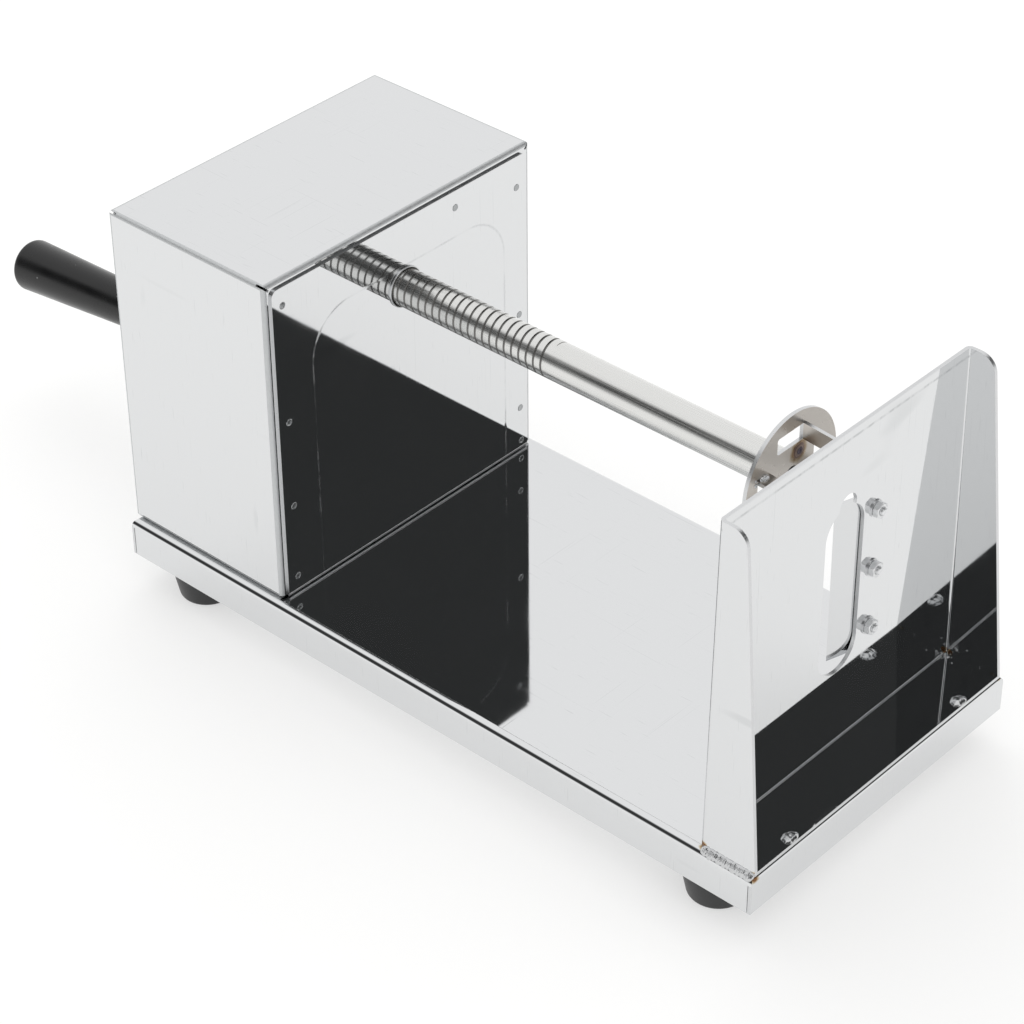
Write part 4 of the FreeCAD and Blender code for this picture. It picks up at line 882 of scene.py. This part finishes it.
# %% The solids of a node
def solids_of(drawn_name):
    """The low and high corner of each separate solid in a drawn piece, in metres."""
    form = bmesh.new()
    form.from_mesh(nodes[drawn_name].data)
    bmesh.ops.remove_doubles(form, verts=form.verts, dist=SAME_POINT)
    boxes, left = [], set(form.verts)
    while left:
        group, edge = set(), [left.pop()]
        while edge:
            vert = edge.pop()
            group.add(vert)
            for link in vert.link_edges:
                other = link.other_vert(vert)
                if other in left:
                    left.discard(other)
                    edge.append(other)
        low = Vector([min(v.co[i] for v in group) for i in range(3)])
        high = Vector([max(v.co[i] for v in group) for i in range(3)])
        boxes.append((low, high))
    form.free()
    return sorted(boxes, key=lambda b: tuple(round(c, 5) for c in b[0]))


print(f"plug_welds holds {len(solids_of('plug_welds'))} solids")

# %% [markdown]
# ## The plug welds
# The disc is held to the tube by two welds that fill holes in it. Such a weld is run in a
# small circle, so it freezes as a low dome with rings, and the last of the metal leaves a
# dimple in the middle.

# %% The form of a plug weld
PLUG_DOME = 0.55
PLUG_RIPPLE, PLUG_RIPPLE_PITCH = 0.05, 0.75
DIMPLE_R, DIMPLE_SHARE = 0.8, 0.5       # how wide it is, and how much of the dome it takes
PLUG_STEPS, PLUG_SIDES = 24, 48


def plug_outline(depth, radius):
    """From the back to the rim, then in over the rings to the dimple."""
    dome = [(0.0, 0.0), (0.0, radius)]
    for step in range(PLUG_STEPS + 1):
        r = radius * (1 - step / PLUG_STEPS)
        dimple = 1 - DIMPLE_SHARE * math.exp(-(r / DIMPLE_R) ** 2)
        rise = PLUG_DOME * (1 - (r / radius) ** 2) * dimple
        dome.append((depth + rise + PLUG_RIPPLE * math.sin(2 * math.pi * r / PLUG_RIPPLE_PITCH), r))
    return dome


points, faces, plug_places = [], [], []
for low, high in solids_of("plug_welds"):
    centre = (low + high) / 2
    radius = (high.z - low.z) / 2 / MM
    depth = (high.x - low.x) / MM - PLUG_DOME
    back_face = Matrix.Translation(Vector((low.x, centre.y, centre.z)))
    lathe(points, faces, plug_outline(depth, radius), PLUG_SIDES, back_face, closed=False)
    plug_places.append(Vector((high.x, centre.y, centre.z)) / MM)
plugs = new_piece("ringed_plug_welds", points, faces, sharp=60)
print(f"{len(plug_places)} plug welds formed")

# %% [markdown]
# Each plug has a purple middle with a brown and a straw ring round it, and the rings go on
# over the disc beside it. So the weld metal and the satin disc get the same tint round the
# same two places; only the raggedness differs, since the disc drew the heat away unevenly.

# %% The tint of the plug welds and the disc
PLUG_RINGS = ((0.00, "#857D8B"), (0.22, "#6C6573"), (0.36, "#B3A29A"), (0.50, "#84706A"),
              (0.64, "#B39C7E"), (0.82, "#E3D9C8"), (1.00, "#FFFFFF"))
PLUG_TINT = 5.4         # radius
plug_heat = [(middle, PLUG_TINT) for middle in plug_places]
plug_finish, tree, shader, mm = worked_metal(
    "tinted_weld_metal", "#CFCAC6", 0.26, (1.2, 1.2, 1.2), 0.01)
heat_tint(shader, mm, plug_heat, PLUG_RINGS, ragged=0.08)
stand_for(plugs, "plug_welds", plug_finish)
heat_tint(disc_shader, disc_mm, plug_heat, PLUG_RINGS, ragged=0.12)
print(f"heat tint of {PLUG_TINT} mm round the plug welds")

# %% [markdown]
# ## The grip
# The grip is turned from black plastic: a collar next to the arm, a waist, then a long taper
# that swells towards a flat end with a soft edge. Its outline is one curve, which also goes
# round the bore and the pocket for the clip on the spindle's end. It leans a few degrees, and
# the joint that it turns on says where it starts and which way it points.

# %% The grip's curve
GRIP_LENGTH = 123.5
COLLAR_R, WAIST_R, END_R = 10.0, 7.8, 11.3
COLLAR_LENGTH, WAIST_AT = 5.0, 15.0


def grip_radius(distance):
    """The grip's radius: an S from the collar to the waist, then a straight taper."""
    if distance < WAIST_AT:
        share = max(0.0, (distance - COLLAR_LENGTH) / (WAIST_AT - COLLAR_LENGTH))
        return COLLAR_R + (WAIST_R - COLLAR_R) * share * share * (3 - 2 * share)
    return WAIST_R + (END_R - WAIST_R) * (distance - WAIST_AT) / (GRIP_LENGTH - WAIST_AT)


stations = (3.0, 4.4, *range(5, 16), *range(20, 121, 10))
grip_curve = [(station, grip_radius(station)) for station in stations]
print(f"grip curve through {len(stations)} stations")

# %% [markdown]
# The collar's edge is broken and the far edge is rounded off, just inside the taper's last
# rise. Then the outline goes in over the flat end and comes back through the bore.

# %% Grip
COLLAR_BREAK, COLLAR_FACET = 0.8, 0.25
END_ROUND, END_INSIDE = 1.9, 0.06
END_MIDDLE_R = 3.0
BORE_R, BORE_DEPTH = 4.05, 94.0
POCKET_R, POCKET_FROM, POCKET_TO = 5.3, 87.6, 89.6
GRIP_SIDES = 96
joints = {joint["name"]: joint for joint in frame["record"]["behaviour"]["joints"]}
grip_direction = Vector(joints["grip_spin"]["axis"])
grip_start = Vector(joints["grip_spin"]["pos_m"])
outline = [(0.0, BORE_R), (0.0, COLLAR_R - COLLAR_BREAK), (COLLAR_FACET, COLLAR_R - COLLAR_FACET),
           (COLLAR_BREAK, COLLAR_R), *grip_curve]
outline += reversed(rounded_rim(GRIP_LENGTH, END_R - END_INSIDE, END_ROUND, steps=8))
outline += [(GRIP_LENGTH, END_MIDDLE_R), (GRIP_LENGTH, 0.0), (BORE_DEPTH, 0.0), (BORE_DEPTH, BORE_R),
            (POCKET_TO, BORE_R), (POCKET_TO, POCKET_R), (POCKET_FROM, POCKET_R),
            (POCKET_FROM, BORE_R)]
points, faces = [], []
lathe(points, faces, outline, GRIP_SIDES, along(grip_start, grip_direction))
stand_for(new_piece("turned_grip", points, faces, sharp=50), "grip")

# %% [markdown]
# ## Rubber feet
# Each foot is a moulded cone with soft edges, bored for its screw. Its edges are rounded by
# swapping each corner of the outline for a short curve that starts and ends on the two lines.

# %% Feet
FOOT_BOTTOM_R, FOOT_POCKET_R, FOOT_BORE_R = 11.2, 4.3, 2.15
FOOT_POCKET_DEPTH = 6.3
FOOT_EDGE = 1.6
FOOT_SIDES = 64


def rounded(corners, radius, steps=5):
    """Round the inner corners of an open (distance, radius) outline."""
    out = [corners[0]]
    for before, corner, after in zip(corners, corners[1:], corners[2:]):
        b, c, a = Vector(before), Vector(corner), Vector(after)
        cut = min(radius, (b - c).length / 2, (a - c).length / 2)
        start, end = c + (b - c).normalized() * cut, c + (a - c).normalized() * cut
        for step in range(steps + 1):
            t = step / steps
            out.append(tuple(start.lerp(c, t).lerp(c.lerp(end, t), t)))
    return out + [corners[-1]]


for name in ("foot_rear_near", "foot_rear_far", "foot_front_near", "foot_front_far"):
    low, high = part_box(name)
    centre = Vector(((low.x + high.x) / 2, (low.y + high.y) / 2, low.z))
    height_mm, top_r = (high.z - low.z) / MM, (high.x - low.x) / 2 / MM
    outline = rounded([(0.0, FOOT_POCKET_R), (0.0, FOOT_BOTTOM_R), (height_mm, top_r),
                       (height_mm, FOOT_BORE_R)], FOOT_EDGE)
    outline += [(FOOT_POCKET_DEPTH, FOOT_BORE_R), (FOOT_POCKET_DEPTH, FOOT_POCKET_R)]
    points, faces = [], []
    lathe(points, faces, outline, FOOT_SIDES, along(centre, Z_DIRECTION))
    stand_for(new_piece("rubber_" + name, points, faces, sharp=40), name)

# %% [markdown]
# ## Nuts
# A bought nut is a hexagon whose corners are turned away at both ends, so each face ends in
# an arc. In polar form that is simple: the radius of a hexagon depends on the angle, and the
# chamfer cuts back the more, the further a corner stands out.

# %% A hexagon in polar form
SIXTH = math.pi / 3
M3_NUT = {"flats": 5.5, "bore": 1.55}
M4_NUT = {"flats": 7.0, "bore": 2.05}


def hexagon(flats, angle):
    """The radius of a hexagon of a given width across flats, at an angle."""
    return flats / 2 / math.cos((angle + SIXTH / 2) % SIXTH - SIXTH / 2)


print(f"an M4 nut is {2 * hexagon(M4_NUT['flats'], SIXTH / 2):.2f} mm across its corners")

# %% [markdown]
# Each nut's outline goes through the countersunk bore, out over the flat ring, down the
# chamfer and along the side. Only the two places where chamfer and side meet move with the
# angle, and that is what draws the arcs.

# %% Nuts
NUT_BEVEL = math.tan(math.radians(30))
NUT_FACE = 0.95         # the flat ring's radius, as a share of the hexagon's inner radius
NUT_LEAD = 0.25         # the countersink at each end of the thread
NUT_SIDES = 72


def nuts_for(drawn_name, axis, flats, bore):
    """Chamfered nuts on every solid of a drawn node of nuts."""
    points, faces = [], []
    along_axis = max(range(3), key=lambda i: abs(axis[i]))
    face_r = flats / 2 * NUT_FACE
    for low, high in solids_of(drawn_name):
        height_mm = (high[along_axis] - low[along_axis]) / MM
        start = (low + high) / 2 - axis * (height_mm / 2 * MM)

        def nut_at(angle):
            out = hexagon(flats, angle)
            slope = (out - face_r) * NUT_BEVEL
            return [(0.0, bore + NUT_LEAD), (NUT_LEAD, bore), (height_mm - NUT_LEAD, bore),
                    (height_mm, bore + NUT_LEAD), (height_mm, face_r),
                    (height_mm - slope, out), (slope, out), (0.0, face_r)]

        lathe(points, faces, nut_at, NUT_SIDES, along(start, axis))
    stand_for(new_piece("chamfered_" + drawn_name, points, faces, sharp=25), drawn_name)


nuts_for("blade_nuts", X_DIRECTION, **M3_NUT)
nuts_for("nut_screw_nuts", X_DIRECTION, **M4_NUT)
nuts_for("foot_nuts", Z_DIRECTION, **M4_NUT)
nuts_for("housing_nuts", Z_DIRECTION, **M4_NUT)

# %% [markdown]
# ## Screws
# The drawn screws are plain shanks with flat heads. The real ones are pan-head machine
# screws: a domed head with a hexagon socket, and a rolled thread whose end is bevelled. The
# thread's ridges are the same helical skin as the drive screw's.

# %% Screws
SCREW_SIDES = 24
SCREW_POINT = 0.35      # the bevel at the end
HEAD_CURVE = ((1.0, 0.72), (0.93, 0.86), (0.75, 0.96), (0.5, 1.0), (0.0, 1.0))
SOCKET_DEPTH = 0.65     # a share of the head
M3_SCREW = {"shank": 3.0, "head_r": 2.9, "head": 2.2, "pitch": 0.5, "socket": 2.0}
M4_SCREW = {"shank": 4.0, "head_r": 4.0, "head": 2.6, "pitch": 0.7, "socket": 2.5}


def screws_for(drawn_name, axis, shank, head_r, head, pitch, socket):
    """Pan-head screws on every solid of a drawn node. The heads lie at the low end."""
    points, faces = [], []
    along_axis = max(range(3), key=lambda i: abs(axis[i]))
    ridge = [(-pitch / 2, 0.0), (-pitch / 4, pitch / 4), (0.0, pitch / 2), (pitch / 4, pitch / 4)]
    r = shank / 2
    crown = [(-head * back_share, head_r * r_share) for back_share, r_share in HEAD_CURVE]

    def head_at(angle):
        flat_r = hexagon(socket, angle)
        floor_at = -head * (1 - SOCKET_DEPTH)
        return [(floor_at, 0.0), (floor_at, flat_r), (-head, flat_r), *crown, (0.0, r), (pitch, r)]

    for low, high in solids_of(drawn_name):
        whole = (high[along_axis] - low[along_axis]) / MM
        place = along((low + high) / 2 - axis * ((whole / 2 - head) * MM), axis)
        tip = whole - head - SCREW_POINT
        end = [(tip, r), (tip + SCREW_POINT, r - SCREW_POINT), (tip + SCREW_POINT, 0.0)]
        lathe(points, faces, head_at, SCREW_SIDES, place, closed=False)
        thread_skin(points, faces, pitch, tip, r, pitch, ridge, SCREW_SIDES, place)
        lathe(points, faces, end, SCREW_SIDES, place, closed=False)
    stand_for(new_piece("pan_head_" + drawn_name, points, faces, sharp=35), drawn_name)


screws_for("blade_bolts", X_DIRECTION, **M3_SCREW)
screws_for("nut_screws", X_DIRECTION, **M4_SCREW)
screws_for("foot_screws", Z_DIRECTION, **M4_SCREW)
screws_for("housing_screws", Z_DIRECTION, **M4_SCREW)

# %% [markdown]
# ## Welds on the tray
# Two weld pools tie the foot of the blade plate to the tray's front edge, and a run of them
# closes the foot of each wing. A pool freezes in ripples, each a crescent, so the skin rises
# to a rounded top with fine steps across it. The run is many pools, each laid on the one
# before. Over a disc of radius 1, the height is a dome, plus the ripples, plus a few lumps.

# %% The height of a weld pool
DOME_FALL, DOME_ROUND = 2.4, 0.7                        # exponents of the dome's curve
POOL_RIPPLE, RIPPLE_PHASE, CRESCENT = 0.09, 14.0, 0.35  # height, radians per half, and bow
POOL_LUMPS, LUMP_SCALE = 0.16, 2.1


def pool_height(a, b, rise, sink, seed):
    """Heights of the pool's top and underside at a point of the unit disc."""
    reach = min(1.0, math.hypot(a, b))
    dome = rise * (1 - reach ** DOME_FALL) ** DOME_ROUND
    ripple = POOL_RIPPLE * math.sin(RIPPLE_PHASE * (a + CRESCENT * b * b)) * (1 - reach ** 4)
    lumps = POOL_LUMPS * noise.noise(Vector((a * LUMP_SCALE, b * LUMP_SCALE, seed)))
    return dome + (ripple + lumps) * min(1.0, 3 * (1 - reach)), -sink * (1 - reach * reach)


print(f"the middle of a 1 mm pool stands {pool_height(0, 0, 1, 0, 0)[0]:.2f} mm high")

# %% [markdown]
# The disc is stretched to an oval with a slightly uneven rim and laid in its place. Its top
# and underside share the rim, so that the pool is one closed skin.

# %% Weld pools
POOL_RINGS, POOL_SIDES = 10, 40
THREE_LOBES, SEVEN_LOBES = 0.05, 0.03           # how far the rim strays from an oval


def weld_pool(points, faces, centre, long_way, wide_way, length, width, rise, sink):
    """Add one closed, rippled oval pool of weld metal, sized in mm."""
    upward = long_way.cross(wide_way)
    upward = upward if upward.z > 0 else -upward
    seed = (centre.x + centre.y) / MM
    for layer in range(2):
        first = len(points)
        for ring in range(POOL_RINGS + 1):
            share = ring / POOL_RINGS
            for side in range(POOL_SIDES):
                angle = 2 * math.pi * side / POOL_SIDES
                a, b = share * math.cos(angle), share * math.sin(angle)
                wobble = (1 + THREE_LOBES * math.sin(3 * angle + seed)
                          + SEVEN_LOBES * math.sin(7 * angle))
                points.append(centre + long_way * (a * wobble * length / 2 * MM)
                              + wide_way * (b * wobble * width / 2 * MM)
                              + upward * (pool_height(a, b, rise, sink, seed)[layer] * MM))
        for ring in range(POOL_RINGS):
            for side in range(POOL_SIDES):
                k, m = first + ring * POOL_SIDES, first + (ring + 1) * POOL_SIDES
                after = (side + 1) % POOL_SIDES
                faces.append((k + side, m + side, m + after, k + after))


print(f"a weld pool takes {2 * POOL_RINGS * POOL_SIDES} faces")

# %% [markdown]
# The tacks lie across the flange's front edge, and the runs lie in the corner between wing
# and tray, leaning outwards. The far run burnt through into the plate's inner corner, and
# threw small beads of spatter over the flange there.

# %% Tacks and runs
TACK = {"length": 7.6, "width": 5.6, "rise": 1.5, "sink": 1.2}
TACK_BACK, TACK_HIGH = 2.6, 1.3             # from the flange's front edge, and above the deck
RUN_START = 3.4                             # from the plate's back
RUN_POOLS, RUN_STEP = 10, 2.1
RUN_LENGTH, RUN_WIDTH = 4.4, 4.9
RUN_WAVER, WAVER_TURN = 0.5, 2.3            # of its width, and radians from pool to pool
RUN_RISE, RUN_SINK = 1.15, 0.8
RUN_OUTSIDE, RUN_LOW = 0.2, 0.1             # off the wing's outside, and below the deck
RUN_UP, RUN_OUT = 0.75, 0.66                # the slope that a run's skin lies on
points, faces = [], []
for side in (-1, 1):
    tack = at(FLANGE_END - TACK_BACK, side * TACK_Y, DECK_Z + TACK_HIGH)
    weld_pool(points, faces, tack, Y_DIRECTION, X_DIRECTION, **TACK)
    leaning = (Z_DIRECTION * RUN_UP - Y_DIRECTION * side * RUN_OUT).normalized()
    for number in range(RUN_POOLS):
        bead_x = PLATE_BACK + RUN_START + RUN_STEP * number
        bead = at(bead_x, side * (WING_Y + RUN_OUTSIDE), DECK_Z - RUN_LOW)
        width = RUN_WIDTH + RUN_WAVER * math.sin(WAVER_TURN * number)
        weld_pool(points, faces, bead, X_DIRECTION, leaning, RUN_LENGTH, width, RUN_RISE, RUN_SINK)
print(f"2 tacks and 2 runs of {RUN_POOLS} pools")

# %% [markdown]
# Spatter freezes as lone beads, most of them small and close to the weld. Three numbers
# between 0 and 1, always the same for one bead, give its place and size, and squaring them
# makes small ones more common.

# %% Spatter
SPATTER_BEADS, SPATTER_REACH = 16, 6.0
SPATTER_X, SPATTER_Y = PLATE_BACK + 2.0, WING_Y - 2.2       # just inside the burnt corner
BEAD_SMALLEST, BEAD_RANGE, BEAD_SINK = 0.3, 0.5, 0.2
BEAD_LONG, BEAD_FLAT = 1.3, 3           # length over width, and width over height
for number in range(SPATTER_BEADS):
    luck = noise.cell_vector(Vector((number + 0.5, 3.5, 0.5)))      # the middle of its cell
    bead = at(SPATTER_X + SPATTER_REACH * luck.x ** 2,
              SPATTER_Y - SPATTER_REACH * luck.y ** 2, FLANGE_TOP)
    size = BEAD_SMALLEST + BEAD_RANGE * luck.z ** 2
    weld_pool(points, faces, bead, X_DIRECTION, Y_DIRECTION,
              size * BEAD_LONG, size, size / BEAD_FLAT, BEAD_SINK)
stand_for(new_piece("rippled_plate_welds", points, faces, sharp=60), "plate_welds")

# %% [markdown]
# ## The splash on the disc
# Some weld metal ran on to the disc and froze as a bright blob in the corner at the root of
# the left prong, with two small beads beside it.

# %% Weld splash
SPLASH_AT = at(268.4, -15.9, 146.1)
SPLASH = {"length": 4.6, "width": 3.2, "rise": 1.1, "sink": 0.4}
SPLASH_BEADS = ((at(267.8, -19.9, 144.7), 1.4), (at(267.8, -20.1, 146.8), 0.9))     # place, size
SPLASH_BEAD_LONG, SPLASH_BEAD_SINK = 1.2, 0.1
points, faces = [], []
into_corner = (X_DIRECTION - Z_DIRECTION).normalized()
weld_pool(points, faces, SPLASH_AT, Y_DIRECTION, into_corner, **SPLASH)
for bead, size in SPLASH_BEADS:
    weld_pool(points, faces, bead, Z_DIRECTION, Y_DIRECTION,
              size * SPLASH_BEAD_LONG, size, size / BEAD_FLAT, SPLASH_BEAD_SINK)
splash = new_piece("disc_weld_splash", points, faces, sharp=60)
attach(splash, "screw")
splash.data.materials.append(weld_bead)
print(f"disc_weld_splash: {len(splash.data.polygons)} faces")

# %% [markdown]
# ## The front panel's foot
# The shear drags the sheet's lower edge a little down and forward. This burr is only 0.1 mm
# proud of the panel, but it is round, so it finds a light to reflect where the flat panel
# shows the dark part of the room, and the deck repeats it.

# %% Rolled lower edge
BURR_HALF = (0.50, 0.80)        # along X and Z
BURR_PROUD = 0.1
BURR_STEPS = 16
foot_low, foot_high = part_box("front_panel")
burr_x = foot_high.x + (BURR_PROUD - BURR_HALF[0]) * MM
points, faces = [], []
for step in range(BURR_STEPS):
    angle = 2 * math.pi * step / BURR_STEPS
    for y in (foot_low.y, foot_high.y):
        points.append((burr_x + BURR_HALF[0] * MM * math.cos(angle), y,
                       foot_low.z + BURR_HALF[1] * MM * math.sin(angle)))
    after = (step + 1) % BURR_STEPS
    faces.append((2 * step, 2 * step + 1, 2 * after + 1, 2 * after))
faces += [range(0, 2 * BURR_STEPS, 2), range(1, 2 * BURR_STEPS, 2)]
burr = new_piece("front_panel_burr", points, faces, sharp=60)
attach(burr, "stand")
burr.data.materials.append(sheared_edge)
print(f"front_panel_burr: {len(burr.data.polygons)} faces")

# %% [markdown]
# ## Spot welds
# The panels are spot-welded to the frame behind them. The copper tips press a shallow dish
# with a raised rim about 3 mm across, duller and greyer than the polish round it, in a column
# down each side and a few along the top.

# %% Spot weld marks
SPOT_R, SPOT_SIDES = 1.5, 32
SPOT_PLACES = [(62.9, 124.4), (28.4, 130.7), (64.1, 65.7), (64.4, 20.8), (64.9, 4.6),
               (-63.3, 130.3), (-63.2, 79.0), (-63.2, 40.8), (-63.2, 7.6)]     # Y, and above deck
DISH = [(0.015, 0.0), (0.02, 0.45), (0.05, 0.66), (0.16, 0.80), (0.16, 0.90), (0.0, 1.0),
        (-0.2, 1.0), (-0.2, 0.0)]       # rise in mm, and share of the radius
outline = [(rise, share * SPOT_R) for rise, share in DISH]
spot_finish = worked_metal("pressed_spot_weld", "#A9ABAC", 0.30, (0.8, 0.8, 0.8), 0.01)[0]
for name, drawn_name, face_x, outwards in (
        ("front_spot_welds", "front_panel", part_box("front_panel")[1].x, X_DIRECTION),
        ("rear_spot_welds", "rear_panel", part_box("rear_panel")[0].x, -X_DIRECTION)):
    points, faces = [], []
    for y, above_deck in SPOT_PLACES:
        centre = Vector((face_x, y * MM, (DECK_Z + above_deck) * MM))
        lathe(points, faces, outline, SPOT_SIDES, along(centre, outwards))
    marks = new_piece(name, points, faces, sharp=60)
    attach(marks, "stand")
    marks.data.materials.append(spot_finish)
    print(f"{name}: {len(SPOT_PLACES)} marks")

# %% [markdown]
# ## The floor
# A plain pale sheet under and behind the cutter. It glows a little, so that it stays near
# white as a sweep of studio paper does under its own lamps, and the shadow stays faint.

# %% Floor
FLOOR_HALF = 3.0
floor_mesh = bpy.data.meshes.new("floor")
corners = [(-FLOOR_HALF, -FLOOR_HALF, 0), (FLOOR_HALF, -FLOOR_HALF, 0),
           (FLOOR_HALF, FLOOR_HALF, 0), (-FLOOR_HALF, FLOOR_HALF, 0)]
floor_mesh.from_pydata(corners, [], [(0, 1, 2, 3)])
floor = bpy.data.objects.new("floor", floor_mesh)
bpy.context.scene.collection.objects.link(floor)
floor_paper, _, shader, _ = new_finish("studio_paper", "#B2B2B1", 0.9, 0.0)
shader.inputs["Specular IOR Level"].default_value = 0.0
shader.inputs["Emission Color"].default_value = colour("#FFFFFF")
shader.inputs["Emission Strength"].default_value = 0.53
floor_mesh.materials.append(floor_paper)
print("floor laid")
